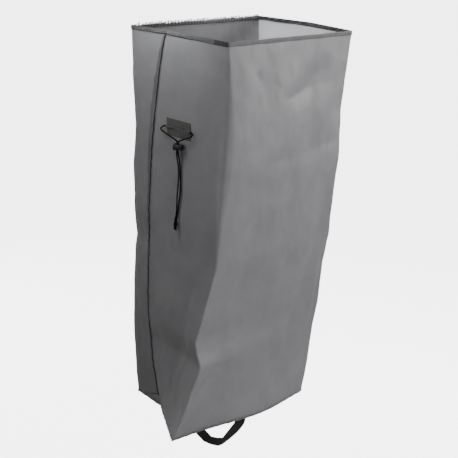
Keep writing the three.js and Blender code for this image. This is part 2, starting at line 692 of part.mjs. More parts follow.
/** Cord knot: the round body of an overhand knot, a wrap across it and the two cut tails. */
function cordKnot() {
  const radius = KNOT_DIAMETER / 2;
  const high = KNOT_HEIGHT / 2;
  const thread = CORD_DIAMETER / 2;
  const rings = KNOT_RINGS.map((ring) => [radius * ring.radius, high * ring.height]);
  const body = turned([[0, -high], ...rings, [0, high]], KNOT_SIDES).rotateX(Math.PI / 2);
  const wrap = new THREE.TorusGeometry(radius - thread, thread, STRAND_SIDES, KNOT_SIDES);
  wrap.rotateX(radians(KNOT_WRAP_TILT));
  const tails = [-1, 1].map((side) =>
    new THREE.CylinderGeometry(thread, thread, KNOT_TAIL, STRAND_SIDES)
      .rotateX(Math.PI / 2)
      .translate(0, 0, -KNOT_TAIL / 2)
      .rotateY(radians(side * KNOT_TAIL_SPREAD))
      .translate(side * thread, 0, thread - high),
  );
  const joined = [body, wrap, ...tails].map(solidOf).reduce((whole, part) => whole.add(part));
  return geometryOf(joined);
}

// Handle strap

/** Rows of the strap's table, with more between them where the webbing twists. */
function strapStations() {
  const stations = [STRAP_SECTIONS[0]];
  for (let i = 1; i < STRAP_SECTIONS.length; i += 1) {
    const low = STRAP_SECTIONS[i - 1];
    const high = STRAP_SECTIONS[i];
    const steps = Math.max(1, Math.ceil(Math.abs(high.roll - low.roll) / STRAP_TWIST_STEP));
    for (let k = 1; k <= steps; k += 1) {
      const mix = (column) => low[column] + ((high[column] - low[column]) * k) / steps;
      stations.push({ along: mix("along"), drop: mix("drop"), roll: mix("roll") });
    }
  }
  return stations;
}

/** Base strap: webbing that hangs as a loop, with both ends sewn flat under the base. */
function baseStrap() {
  const top = -SACK_HEIGHT - SEWING_GAP - STRAP_THICKNESS / 2;
  const stations = strapStations();
  const centres = stations.map(
    ({ along, drop }) => new THREE.Vector3(along * STRAP_SPAN, 0, top - drop * STRAP_DROP),
  );
  const profile = [
    new THREE.Vector2(-0.5, -0.5),
    new THREE.Vector2(0.5, -0.5),
    new THREE.Vector2(0.5, 0.5),
    new THREE.Vector2(-0.5, 0.5),
  ];
  const sections = centres.map((centre, i) => {
    const before = i > 0 ? centre.clone().sub(centres[i - 1]).normalize() : null;
    const after = i < centres.length - 1 ? centres[i + 1].clone().sub(centre).normalize() : null;
    const tangent = (before ?? after).clone().add(after ?? before).normalize();
    const mitre = before && after ? tangent.dot(after) : 1;
    const across = new THREE.Vector3(0, 1, 0).applyAxisAngle(tangent, radians(stations[i].roll));
    const face = tangent.clone().cross(across).normalize();
    return profile.map(({ x, y }) =>
      centre.clone().addScaledVector(across, x * STRAP_WIDTH).addScaledVector(face, (y * STRAP_THICKNESS) / mitre),
    );
  });
  return loft(sections, { profile });
}

// Scene

/** A named piece with its own colour and finish. */
function piece(name, geometry, color, roughness, metalness = 0) {
  const mesh = new THREE.Mesh(geometry, new THREE.MeshStandardMaterial({ color, roughness, metalness }));
  mesh.name = name;
  return mesh;
}

const sack = new THREE.Group();
sack.add(
  piece("sack_walls", sackWalls(), 0x8a8a8c, 0.7),
  piece("base_panel", basePanel(), 0x6f6f71, 0.7),
  piece("rim_tape", rimTape(), 0x5a5a5c, 0.8),
  piece("seam_flap", seamFlap(), 0x6c6b71, 0.7),
  piece("cord_tunnel", cordTunnel(), 0x454545, 0.85),
  piece("base_strap", baseStrap(), 0x232323, 0.85),
  piece("cord_left", strand(LEFT_STRAND), 0x101010, 0.9),
  piece("cord_right", strand(RIGHT_STRAND), 0x101010, 0.9),
);

const knot = piece("cord_knot", cordKnot(), 0x101010, 0.9);
knot.position.set(...KNOT_CENTRE);
knot.rotation.z = radians(LOCK_TURN - 90);
sack.add(knot);

const lock = new THREE.Group();
lock.position.set(...LOCK_CENTRE);
lock.rotation.z = radians(LOCK_TURN);
lock.add(piece("lock_barrel", lockBarrel(), 0x2a2a2a, 0.45), piece("lock_plunger", lockPlunger(), 0x2a2a2a, 0.45));
sack.add(lock);

export default sack;
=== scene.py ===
import math

import bpy
import numpy as np
from mathutils import Matrix, Vector


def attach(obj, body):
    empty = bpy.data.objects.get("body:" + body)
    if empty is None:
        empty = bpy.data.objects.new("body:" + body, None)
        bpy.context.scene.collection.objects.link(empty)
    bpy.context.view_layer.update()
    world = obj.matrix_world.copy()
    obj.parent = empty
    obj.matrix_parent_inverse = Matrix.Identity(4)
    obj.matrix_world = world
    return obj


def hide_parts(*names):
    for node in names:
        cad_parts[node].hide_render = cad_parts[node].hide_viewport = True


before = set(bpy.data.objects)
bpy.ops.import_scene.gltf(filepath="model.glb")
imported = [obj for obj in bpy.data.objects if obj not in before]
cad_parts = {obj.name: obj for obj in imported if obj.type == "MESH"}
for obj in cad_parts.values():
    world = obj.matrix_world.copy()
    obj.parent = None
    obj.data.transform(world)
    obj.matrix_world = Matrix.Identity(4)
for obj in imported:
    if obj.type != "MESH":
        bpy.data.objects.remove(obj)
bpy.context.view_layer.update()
scene = bpy.context.scene

# Camera

EYE = Vector((-2.0612, -1.7062, 0.330))
FORWARD = Vector((0.7361, 0.6121, -0.2896)).normalized()
RIGHT = Vector((0.6527, -0.7550, 0.0634)).normalized()
UP = RIGHT.cross(FORWARD).normalized()
FOCAL_PIXELS = 1169
PICTURE_PIXELS = 458


def make_camera():
    data = bpy.data.cameras.new("camera")
    data.sensor_width = 36
    data.lens = 36 * FOCAL_PIXELS / PICTURE_PIXELS
    data.clip_start = 0.05
    data.clip_end = 60
    camera = bpy.data.objects.new("camera", data)
    scene.collection.objects.link(camera)
    turn = Matrix((RIGHT, UP, -FORWARD)).transposed().to_4x4()
    camera.matrix_world = Matrix.Translation(EYE) @ turn
    scene.camera = camera


make_camera()


# Procedural materials


class Nodes:
    """A material and short ways to add its nodes."""

    def __init__(self, name):
        self.material = bpy.data.materials.new(name)
        self.material.use_nodes = True
        self.tree = self.material.node_tree
        self.tree.nodes.clear()
        self.shader = self.tree.nodes.new("ShaderNodeBsdfPrincipled")
        output = self.tree.nodes.new("ShaderNodeOutputMaterial")
        self.tree.links.new(self.shader.outputs[0], output.inputs["Surface"])

    def link(self, source, target):
        self.tree.links.new(source, target)

    def uv(self):
        return self.tree.nodes.new("ShaderNodeUVMap").outputs[0]

    def place(self):
        return self.tree.nodes.new("ShaderNodeTexCoord").outputs["Object"]

    def add(self, kind, links, **values):
        """Adds a node whose inputs are linked or set by name."""
        node = self.tree.nodes.new(kind)
        for name, value in values.items():
            node.inputs[name.replace("_", " ")].default_value = value
        for name, source in links.items():
            self.link(source, node.inputs[name])
        return node

    def scaled(self, vector, *scale):
        return self.add("ShaderNodeMapping", {"Vector": vector}, Scale=scale).outputs[0]

    def noise(self, vector, scale, detail=3.0, roughness=0.5, distortion=0.0):
        return self.add(
            "ShaderNodeTexNoise", {"Vector": vector},
            Scale=scale, Detail=detail, Roughness=roughness, Distortion=distortion,
        ).outputs[0]

    def wave(self, vector, scale, direction):
        node = self.add("ShaderNodeTexWave", {"Vector": vector}, Scale=scale)
        node.wave_type = "BANDS"
        node.bands_direction = direction
        return node.outputs["Fac"]

    def math(self, operation, first, second=0.0):
        node = self.tree.nodes.new("ShaderNodeMath")
        node.operation = operation
        for socket, value in zip(node.inputs, (first, second)):
            if isinstance(value, (int, float)):
                socket.default_value = value
            else:
                self.link(value, socket)
        return node.outputs[0]

    def ramp(self, value, low, high, to_low, to_high):
        return self.add(
            "ShaderNodeMapRange", {"Value": value},
            From_Min=low, From_Max=high, To_Min=to_low, To_Max=to_high,
        ).outputs[0]

    def colours(self, value, first, second):
        node = self.tree.nodes.new("ShaderNodeMix")
        node.data_type = "RGBA"
        node.inputs["A"].default_value = (*first, 1)
        node.inputs["B"].default_value = (*second, 1)
        self.link(value, node.inputs["Factor"])
        return node.outputs["Result"]

    def bump(self, height, distance, strength=1.0, before=None):
        links = {"Height": height}
        if before is not None:
            links["Normal"] = before
        return self.add("ShaderNodeBump", links, Distance=distance, Strength=strength).outputs[0]

    def finish(self, colour=None, roughness=None, normal=None, **sockets):
        if colour is not None:
            self.link(colour, self.shader.inputs["Base Color"])
        if roughness is not None:
            self.link(roughness, self.shader.inputs["Roughness"])
        if normal is not None:
            self.link(normal, self.shader.inputs["Normal"])
        for name, value in sockets.items():
            self.shader.inputs[name.replace("_", " ")].default_value = value
        return self.material


def weave(nodes, vector, threads_a_metre):
    """Height of a plain weave: two sets of ridges that cross."""
    # a wave texture with scale 1 has a period of pi / 10
    scale = threads_a_metre * math.pi / 10
    along = nodes.wave(vector, scale, "X")
    across = nodes.wave(vector, scale, "Y")
    return nodes.math("MAXIMUM", along, across)


def cloth_material(name, light, dark, roughness=(0.42, 0.58), wrinkle=0.0008, sheen=0.12):
    """Smooth coated polyester: fine weave, soft mottling and faint creases."""
    nodes = Nodes(name)
    place = nodes.place()
    mottle = nodes.noise(place, 9, detail=6, roughness=0.62, distortion=0.3)
    colour = nodes.colours(nodes.ramp(mottle, 0.32, 0.68, 0, 1), dark, light)
    smears = nodes.noise(nodes.scaled(place, 14, 14, 5), 1, detail=4, roughness=0.55)
    rough = nodes.ramp(smears, 0.3, 0.7, *roughness)
    creases = nodes.noise(nodes.scaled(place, 22, 22, 13), 1, detail=5, roughness=0.5, distortion=0.4)
    normal = nodes.bump(creases, wrinkle)
    normal = nodes.bump(weave(nodes, nodes.uv(), 1600), 0.00006, 0.5, normal)
    return nodes.finish(
        colour, rough, normal, Sheen_Weight=sheen, Sheen_Roughness=0.4, Specular_IOR_Level=0.4
    )


def tape_material(name, light, dark, ribs_a_metre, sheen=0.15, roughness=(0.7, 0.85), gloss=0.3):
    """Woven tape: ribs across it, a crossing weave and slight fuzz."""
    nodes = Nodes(name)
    uv = nodes.uv()
    mottle = nodes.noise(nodes.place(), 60, detail=5, roughness=0.6)
    ribs = weave(nodes, uv, ribs_a_metre)
    value = nodes.math("ADD", nodes.math("MULTIPLY", mottle, 0.6), nodes.math("MULTIPLY", ribs, 0.4))
    colour = nodes.colours(nodes.ramp(value, 0.3, 0.8, 0, 1), dark, light)
    rough = nodes.ramp(mottle, 0.3, 0.7, *roughness)
    fuzz = nodes.noise(nodes.place(), 900, detail=3)
    normal = nodes.bump(fuzz, 0.0001, 0.4)
    normal = nodes.bump(ribs, 0.0003, 0.8, normal)
    return nodes.finish(
        colour, rough, normal, Sheen_Weight=sheen, Sheen_Roughness=0.5, Specular_IOR_Level=gloss
    )


def plastic_material(name, light, dark):
    """Moulded plastic: fine spark texture and faint flow marks."""
    nodes = Nodes(name)
    place = nodes.place()
    flow = nodes.noise(nodes.scaled(place, 90, 260, 90), 1, detail=4, distortion=0.5)
    colour = nodes.colours(nodes.ramp(flow, 0.3, 0.7, 0, 1), dark, light)
    rough = nodes.ramp(nodes.noise(place, 420, detail=4), 0.3, 0.7, 0.42, 0.58)
    normal = nodes.bump(nodes.noise(place, 2600, detail=2), 0.00008, 0.6)
    return nodes.finish(colour, rough, normal, Specular_IOR_Level=0.36)


# ribs or threads a metre
RIM_RIBS = 900
TUNNEL_RIBS = 700
WEBBING_RIBS = 500
BRAID_RIBS = 1500
THREAD_RIBS = 2500

SACK_CLOTH = cloth_material("sack_cloth", (0.208, 0.206, 0.215), (0.172, 0.172, 0.181), wrinkle=0.0014)
BASE_CLOTH = cloth_material("base_cloth", (0.15, 0.15, 0.155), (0.135, 0.135, 0.14))
SEAM_CLOTH = cloth_material("seam_cloth", (0.135, 0.13, 0.142), (0.088, 0.084, 0.094), wrinkle=0.0012)
RIM_TAPE = tape_material("rim_tape", (0.085, 0.085, 0.088), (0.04, 0.04, 0.042), RIM_RIBS)
# Lit and shaded copies of the rim tape: a lighter one is painted light along the front, and a near-black one
# is painted shade on the right and along the top of the back.
RIM_PAINTED_LIGHT = tape_material("rim_tape_painted_light", (0.17, 0.17, 0.176), (0.11, 0.11, 0.113), RIM_RIBS)
RIM_PAINTED_SHADE = tape_material(
    "rim_tape_painted_shade", (0.02, 0.02, 0.021), (0.009, 0.009, 0.0095), RIM_RIBS, sheen=0.04, gloss=0.12
)
RIM_LAP = tape_material("rim_tape_lap", (0.036, 0.036, 0.037), (0.018, 0.018, 0.019), RIM_RIBS)
TUNNEL_TAPE = tape_material("tunnel_tape", (0.072, 0.072, 0.069), (0.05, 0.05, 0.048), TUNNEL_RIBS)
WEBBING = tape_material(
    "webbing", (0.015, 0.015, 0.0155), (0.006, 0.006, 0.0064), WEBBING_RIBS, sheen=0.05, gloss=0.2
)
CORD_BRAID = tape_material(
    "cord_braid", (0.005, 0.005, 0.0053), (0.0015, 0.0015, 0.0016), BRAID_RIBS, sheen=0.0, gloss=0.08
)
THREAD = tape_material("thread", (0.075, 0.075, 0.077), (0.05, 0.05, 0.052), THREAD_RIBS)
# Dark thread for the overlock and the rim's tufts. Along the seam allowance's edge it is also painted shadow.
DARK_THREAD_AND_SHADE = tape_material(
    "dark_thread_and_shade", (0.014, 0.014, 0.016), (0.006, 0.006, 0.007), THREAD_RIBS, sheen=0.05, gloss=0.12
)
LOCK_PLASTIC = plastic_material("lock_plastic", (0.011, 0.011, 0.0115), (0.005, 0.005, 0.0053))


# Meshes


def unit(vectors):
    return vectors / np.maximum(np.linalg.norm(vectors, axis=-1, keepdims=True), 1e-12)


def shown(name, points, faces, material, corner_uv=None, body="sack", replaces=()):
    """A smooth mesh piece that rides on a body."""
    mesh = bpy.data.meshes.new(name)
    mesh.from_pydata(np.asarray(points, float).tolist(), [], faces)
    mesh.polygons.foreach_set("use_smooth", [True] * len(mesh.polygons))
    if corner_uv is not None:
        layer = mesh.uv_layers.new(name="place")
        layer.data.foreach_set("uv", np.asarray(corner_uv, np.float32).ravel())
    mesh.materials.append(material)
    mesh.update()
    piece = bpy.data.objects.new(name, mesh)
    scene.collection.objects.link(piece)
    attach(piece, body)
    if replaces:
        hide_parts(*replaces)
    return piece


def loft(name, sections, ring, along, around, material, slot, body="sack", replaces=()):
    """A closed skin over sections of equal length. along has a value for each section, around one
    for each point of a section, and each has one more where it closes."""
    count, size, _ = sections.shape
    bands = count if ring else count - 1
    i = np.arange(bands)[:, None]
    j = np.arange(size)[None, :]
    after, beside = (i + 1) % count, (j + 1) % size
    quads = np.stack([i * size + j, after * size + j, after * size + beside, i * size + beside], -1)
    corners = ((0, 0), (1, 0), (1, 1), (0, 1))
    uv = np.stack([np.stack([along[i + a + 0 * j], around[j + b + 0 * i]], -1) for a, b in corners], -2)
    quads = quads.reshape(-1, 4)
    uv = uv.reshape(-1, 4, 2)
    points = sections.reshape(-1, 3)
    ends = [] if ring else [np.arange(size), np.arange(count * size - 1, (count - 1) * size - 1, -1)]
    central = points - points.mean(0)
    a, b, c, d = (central[quads[:, k]] for k in range(4))
    volume = (a * np.cross(b, c)).sum() + (a * np.cross(c, d)).sum()
    for end in ends:
        volume += (central[end[0]] * np.cross(central[end[1:-1]], central[end[2:]])).sum()
    if volume < 0:
        quads = quads[:, ::-1]
        uv = uv[:, ::-1]
        ends = [end[::-1] for end in ends]
    faces = quads.tolist() + [end.tolist() for end in ends]
    corner_uv = np.concatenate([uv.reshape(-1, 2), np.zeros((size * len(ends), 2))])
    return shown(name, points, faces, material, corner_uv, body, replaces)


def lengths_along(points):
    """Distance to each point of a line from its first."""
    steps = np.linalg.norm(np.diff(points, axis=0), axis=1)
    return np.concatenate([[0], np.cumsum(steps)])


# Sack's cloth: the same folds and dents as the solids, on a finer grid

MOUTH_WIDTH = 0.445
MOUTH_DEPTH = 0.285
HEIGHT = 0.9
BASE_WIDTH = 0.444
BASE_DEPTH = 0.278
BASE_TURN = math.radians(-4)
BASE_LEAN = math.radians(29.2)
DRIFT = np.array([math.cos(math.radians(-49.2)), math.sin(math.radians(-49.2))])
CLOTH = 0.0012
FOLD_REACH = 0.004
CLOTH_TOP = -0.0037
CLOTH_BOTTOM = -0.8982

# drop, back, seam along, seam pull, front, right, bend, soft, bow
LEVELS = np.array([
    [0.0, 0, 0.325, -0.034, 0, 0, 0.063, 0.012, 0],
    [0.055, 0.001, 0.285, -0.027, 0.018, 0, 0.06, 0.02, 0.002],
    [0.11, 0.001, 0.26, -0.02, 0.034, 0, 0.056, 0.035, 0.005],
    [0.16, 0.002, 0.24, -0.013, 0.048, 0, 0.053, 0.05, 0.008],
    [0.21, 0.007, 0.22, -0.006, 0.059, 0, 0.05, 0.06, 0.01],
    [0.25, 0.011, 0.208, -0.002, 0.064, 0.009, 0.047, 0.065, 0.012],
    [0.29, 0.002, 0.212, 0.002, 0.069, 0.015, 0.044, 0.065, 0.013],
    [0.33, -0.005, 0.218, 0.006, 0.074, 0.022, 0.042, 0.06, 0.014],
    [0.38, -0.007, 0.219, 0.008, 0.079, 0.022, 0.039, 0.05, 0.014],
    [0.43, -0.004, 0.213, 0.01, 0.084, 0.022, 0.036, 0.04, 0.013],
    [0.48, 0.0, 0.205, 0.012, 0.091, 0.025, 0.033, 0.032, 0.012],
    [0.54, 0.012, 0.188, 0.013, 0.098, 0.029, 0.029, 0.028, 0.01],
    [0.575, 0.001, 0.21, 0.012, 0.09, 0.025, 0.027, 0.026, 0.008],
    [0.62, -0.006, 0.226, 0.011, 0.079, 0.017, 0.024, 0.025, 0.006],
    [0.68, -0.012, 0.248, 0.009, 0.066, 0.02, 0.02, 0.024, 0.004],
    [0.735, -0.016, 0.264, 0.002, 0.049, 0.022, 0.017, 0.022, 0.001],
    [0.765, -0.018, 0.263, -0.003, 0.063, 0.016, 0.015, 0.02, -0.001],
    [0.8, -0.019, 0.254, -0.009, 0.094, 0.013, 0.013, 0.02, -0.003],
    [0.845, -0.017, 0.27, -0.018, 0.072, 0.012, 0.01, 0.018, -0.004],
    [0.89, -0.014, 0.29, -0.028, 0.051, 0.01, 0.007, 0.016, -0.004],
    [0.945, -0.008, 0.305, -0.045, 0.031, 0.006, 0.004, 0.014, -0.002],
    [1.0, 0, 0.352, -0.064, 0, 0, 0, 0.012, 0],
])
LEVEL_COLUMNS = ["drop", "back", "seam_along", "seam_pull", "front", "right", "bend", "soft", "bow"]
SMOOTHING = 0.005
# the front left fold is crisper here than in the solids from one drop to the other
CRISP_FROM = (0.34, 0.56)
CRISP_SHARE = (1.0, 0.4)

# fold, steps of its flat part, share of the bow, steps of its rounding, sharp
STRETCHES = [
    ("left_back", 16, 0, 4, True),
    ("seam", 34, 0.3, 4, True),
    ("left_front", 66, 0.5, 10, False),
    ("right_front", 20, 0, 4, True),
    ("right_bend", 20, 0, 4, True),
    ("right_back", 140, 1, 4, True),
]

# fold, across, drop, slant, wide, tall, push
DENTS = [
    ("left_front", 0.68, 0.12, -2.2, 0.11, 0.05, -0.014),
    ("left_front", 0.82, 0.2, 0, 0.12, 0.05, 0.009),
    ("left_front", 0.86, 0.62, -0.5, 0.06, 0.14, -0.012),
    ("left_front", 0.3, 0.72, 0.6, 0.16, 0.09, -0.01),
    ("left_front", 0.1, 0.9, -1.2, 0.06, 0.06, 0.011),
    ("left_front", 0.62, 1.0, 0, 0.34, 0.09, 0.055),
    ("seam", 0.45, 0.5, 0.2, 0.25, 0.12, -0.008),
    ("seam", 0.6, 0.78, 0, 0.25, 0.1, -0.014),
    ("right_back", 0.5, 0.35, 0.4, 0.16, 0.12, 0.016),
    ("right_back", 0.25, 0.7, -0.5, 0.12, 0.14, -0.016),
    ("right_front", 0.5, 0.45, 0, 0.3, 0.12, -0.01),
    ("right_bend", 0.5, 0.65, 0, 0.3, 0.14, 0.012),
]


def level_value(name, drops):
    """A column of the levels at any drop, with its kinks a little rounded."""
    # the fine drops go past both ends, so that the ends keep their values
    fine = np.linspace(-0.1, 1.1, 2401)
    values = np.interp(fine, LEVELS[:, 0], LEVELS[:, LEVEL_COLUMNS.index(name)])
    reach = np.arange(-60, 61)
    kernel = np.exp(-0.5 * (reach * 0.0005 / SMOOTHING) ** 2)
    values = np.convolve(values, kernel / kernel.sum(), mode="same")
    return np.interp(drops, fine, values)[:, None]


def corner_folds(width, depth, turn, lean):
    along = width / 2 * np.array([math.cos(turn), math.sin(turn)])
    back = depth / 2 * np.array([math.sin(lean), math.cos(lean)])
    return {
        "left_back": back - along,
        "left_front": -back - along,
        "right_front": along - back,
        "right_back": along + back,
    }


def outward(start, end):
    way = unit(end - start)
    return np.stack([way[..., 1], -way[..., 0]], -1)


def folds_at(drops):
    """Each fold's place at each drop, seen from above."""
    mouth = corner_folds(MOUTH_WIDTH, MOUTH_DEPTH, 0, 0)
    base = corner_folds(BASE_WIDTH, BASE_DEPTH, BASE_TURN, BASE_LEAN)
    share = drops[:, None]
    folds = {name: mouth[name] * (1 - share) + base[name] * share for name in mouth}
    for name, column in (("left_back", "back"), ("left_front", "front"), ("right_front", "right")):
        folds[name] = folds[name] + DRIFT * level_value(column, drops) * MOUTH_WIDTH
    left, near = folds["left_back"], folds["left_front"]
    folds["seam"] = left + (near - left) * level_value("seam_along", drops)
    folds["seam"] = folds["seam"] + outward(left, near) * level_value("seam_pull", drops) * MOUTH_WIDTH
    near, far = folds["right_front"], folds["right_back"]
    folds["right_bend"] = (near + far) / 2 + outward(near, far) * level_value("bend", drops) * MOUTH_WIDTH
    return folds


def outline_at(drops):
    """The cloth's outer outline at each drop."""
    folds = folds_at(drops)
    count = len(STRETCHES)
    crisp = np.interp(drops, CRISP_FROM, CRISP_SHARE)[:, None]
    soft = level_value("soft", drops) * MOUTH_WIDTH * crisp

    def reach(i):
        return FOLD_REACH if STRETCHES[i % count][4] else soft

    columns = []
    for i, (fold, steps, bow_share, round_steps, _) in enumerate(STRETCHES):
        here, following, previous = (folds[STRETCHES[k % count][0]] for k in (i, i + 1, i - 1))
        before = here + unit(previous - here) * reach(i)
        start = here + unit(following - here) * reach(i)
        end = following + unit(here - following) * reach(i + 1)
        for k in range(round_steps):
            t = k / round_steps
            columns.append((1 - t) ** 2 * before + 2 * t * (1 - t) * here + t * t * start)
        out = outward(here, following)
        for k in range(steps):
            across = k / steps
            fade = 4 * across * (1 - across)
            push = np.zeros((len(drops), 1))
            for dent_fold, middle, drop, slant, wide, tall, size in DENTS:
                if dent_fold == fold:
                    side = (across - middle - slant * (drops - drop)) / wide
                    level = (drops - drop) / tall
                    push[:, 0] += size * MOUTH_WIDTH * np.exp(-side * side - level * level)
            bow = fade * bow_share * level_value("bow", drops) * MOUTH_WIDTH
            columns.append(start + (end - start) * across + out * (bow + math.sqrt(fade) * push))
    return np.stack(columns, 1)


def fold_column(name):
    column = 0
    for fold, steps, _, round_steps, _ in STRETCHES:
        if fold == name:
            return column + round_steps // 2
        column += steps + round_steps
    return column


def spline_noise(u, v, cells_u, cells_v, seed):
    """Smooth noise between about -1 and 1 that closes round the sack. u and v run from 0 to 1."""
    lattice = np.random.default_rng(seed).uniform(-1.7, 1.7, (cells_v + 4, cells_u))
    x, y = u * cells_u, v * cells_v
    column, row = np.floor(x).astype(int), np.clip(np.floor(y).astype(int), 0, cells_v)
    fx, fy = x - column, y - row

    def weights(f):
        return [
            (1 - f) ** 3 / 6,
            (3 * f**3 - 6 * f**2 + 4) / 6,
            (-3 * f**3 + 3 * f**2 + 3 * f + 1) / 6,
            f**3 / 6,
        ]

    total = np.zeros(np.broadcast(u, v).shape)
    for a, wy in enumerate(weights(fy)):
        for b, wx in enumerate(weights(fx)):
            total += wy * wx * lattice[row + a, (column + b - 1) % cells_u]
    return total


# Creases in the cloth that are finer than the solids' dents. Each has its fold, a line of points
# as share across and drop, its width and its depth in metres.
CREASES = [
    ("left_front", [(0.85, 0.125), (0.62, 0.14), (0.47, 0.152)], 0.012, -0.0022),
    ("left_front", [(0.3, 0.312), (0.62, 0.302), (0.97, 0.285)], 0.014, -0.0013),
    ("left_front", [(0.97, 0.24), (0.88, 0.3), (0.84, 0.38)], 0.009, -0.0016),
    ("left_front", [(0.99, 0.34), (0.9, 0.37), (0.86, 0.43)], 0.008, 0.0014),
    ("left_front", [(0.985, 0.56), (0.965, 0.68), (0.955, 0.82)], 0.006, -0.0022),
    ("left_front", [(0.95, 0.58), (0.93, 0.68), (0.92, 0.78)], 0.007, 0.0014),
    ("left_front", [(0.0, 0.868), (0.006, 0.89), (0.014, 0.915)], 0.004, 0.0032),
    ("left_front", [(0.03, 0.872), (0.045, 0.89), (0.062, 0.914)], 0.005, -0.0034),
    ("left_front", [(0.1, 0.82), (0.07, 0.845), (0.045, 0.874)], 0.006, -0.0022),
    ("left_front", [(0.02, 0.735), (0.14, 0.72), (0.24, 0.73)], 0.009, -0.002),
    ("left_front", [(0.01, 0.8), (0.1, 0.82), (0.2, 0.82)], 0.008, -0.0014),
    ("left_front", [(0.3, 0.66), (0.36, 0.69), (0.4, 0.73)], 0.009, -0.0013),
    ("left_front", [(0.22, 0.99), (0.25, 0.95), (0.3, 0.93)], 0.01, -0.0018),
    ("left_front", [(0.19, 0.084), (0.215, 0.09), (0.24, 0.1)], 0.008, -0.0018),
    ("left_front", [(0.34, 0.106), (0.365, 0.113), (0.39, 0.124)], 0.007, -0.0014),
    ("seam", [(0.35, 0.42), (0.3, 0.5), (0.36, 0.6)], 0.012, -0.0016),
    ("seam", [(0.75, 0.6), (0.68, 0.7), (0.8, 0.78)], 0.01, -0.0022),
    ("seam", [(0.9, 0.74), (0.7, 0.8), (0.6, 0.88)], 0.009, 0.0018),
    ("seam", [(0.02, 0.9), (0.06, 0.95), (0.1, 0.99)], 0.008, -0.0022),
    ("left_back", [(0.4, 0.9895), (0.7, 0.979), (0.98, 0.968)], 0.004, -0.0016),
    ("left_back", [(0.4, 0.5), (0.6, 0.54), (0.8, 0.56)], 0.009, -0.0018),
    ("right_back", [(0.86, 0.02), (0.83, 0.1), (0.8, 0.2)], 0.007, -0.002),
    ("right_back", [(0.3, 0.2), (0.45, 0.34), (0.5, 0.5)], 0.016, -0.003),
    ("right_back", [(0.7, 0.45), (0.62, 0.6), (0.66, 0.8)], 0.014, 0.003),
    ("right_front", [(0.2, 0.3), (0.5, 0.45), (0.8, 0.5)], 0.012, -0.0026),
    ("right_bend", [(0.3, 0.5), (0.6, 0.62), (0.7, 0.8)], 0.012, -0.0026),
]
CREASE_FADE = 0.62
# height, cells round the sack, cells down it, seed, and whether it dies away at the rim
WRINKLES = [(0.0016, 26, 9, 3, True), (0.0009, 60, 26, 5, True), (0.00045, 120, 60, 8, False)]
RIM_FADE = 0.06
BASE_FADE = 0.045
SEWN_SHARE = 0.12
# pitch, reach and height of the ripples along the back rim, the other rims, the seam and the hem
GATHER_PITCH = 0.011
GATHER_REACH = 0.012
GATHER_HEIGHT = 0.0005
PUCKER_PITCH = 0.021
PUCKER_REACH = 0.016
PUCKER_HEIGHT = 0.00035
SEAM_PITCH = 0.024
SEAM_REACH = 0.014
SEAM_HEIGHT = 0.0006
HEM_PITCH = 0.026
HEM_REACH = 0.012
HEM_HEIGHT = 0.0005
GROOVE_DEPTH = 0.0016
GROOVE_WIDTH = 0.004
# rows of the grid: close together in a band under the rim, then even down to the base
TOP_BAND = 0.06
TOP_STEP = 0.0035
BAND_GAP = 0.0015
ROWS_BELOW = 121


def line_distance(x, y, line):
    """Distance of each spot from a line of points on the spread-out cloth."""
    best = np.full(np.shape(x), np.inf)
    for (ax, ay), (bx, by) in zip(line[:-1], line[1:]):
        dx, dy = bx - ax, by - ay
        t = np.clip(((x - ax) * dx + (y - ay) * dy) / (dx * dx + dy * dy), 0, 1)
        best = np.minimum(best, np.hypot(x - ax - t * dx, y - ay - t * dy))
    return best


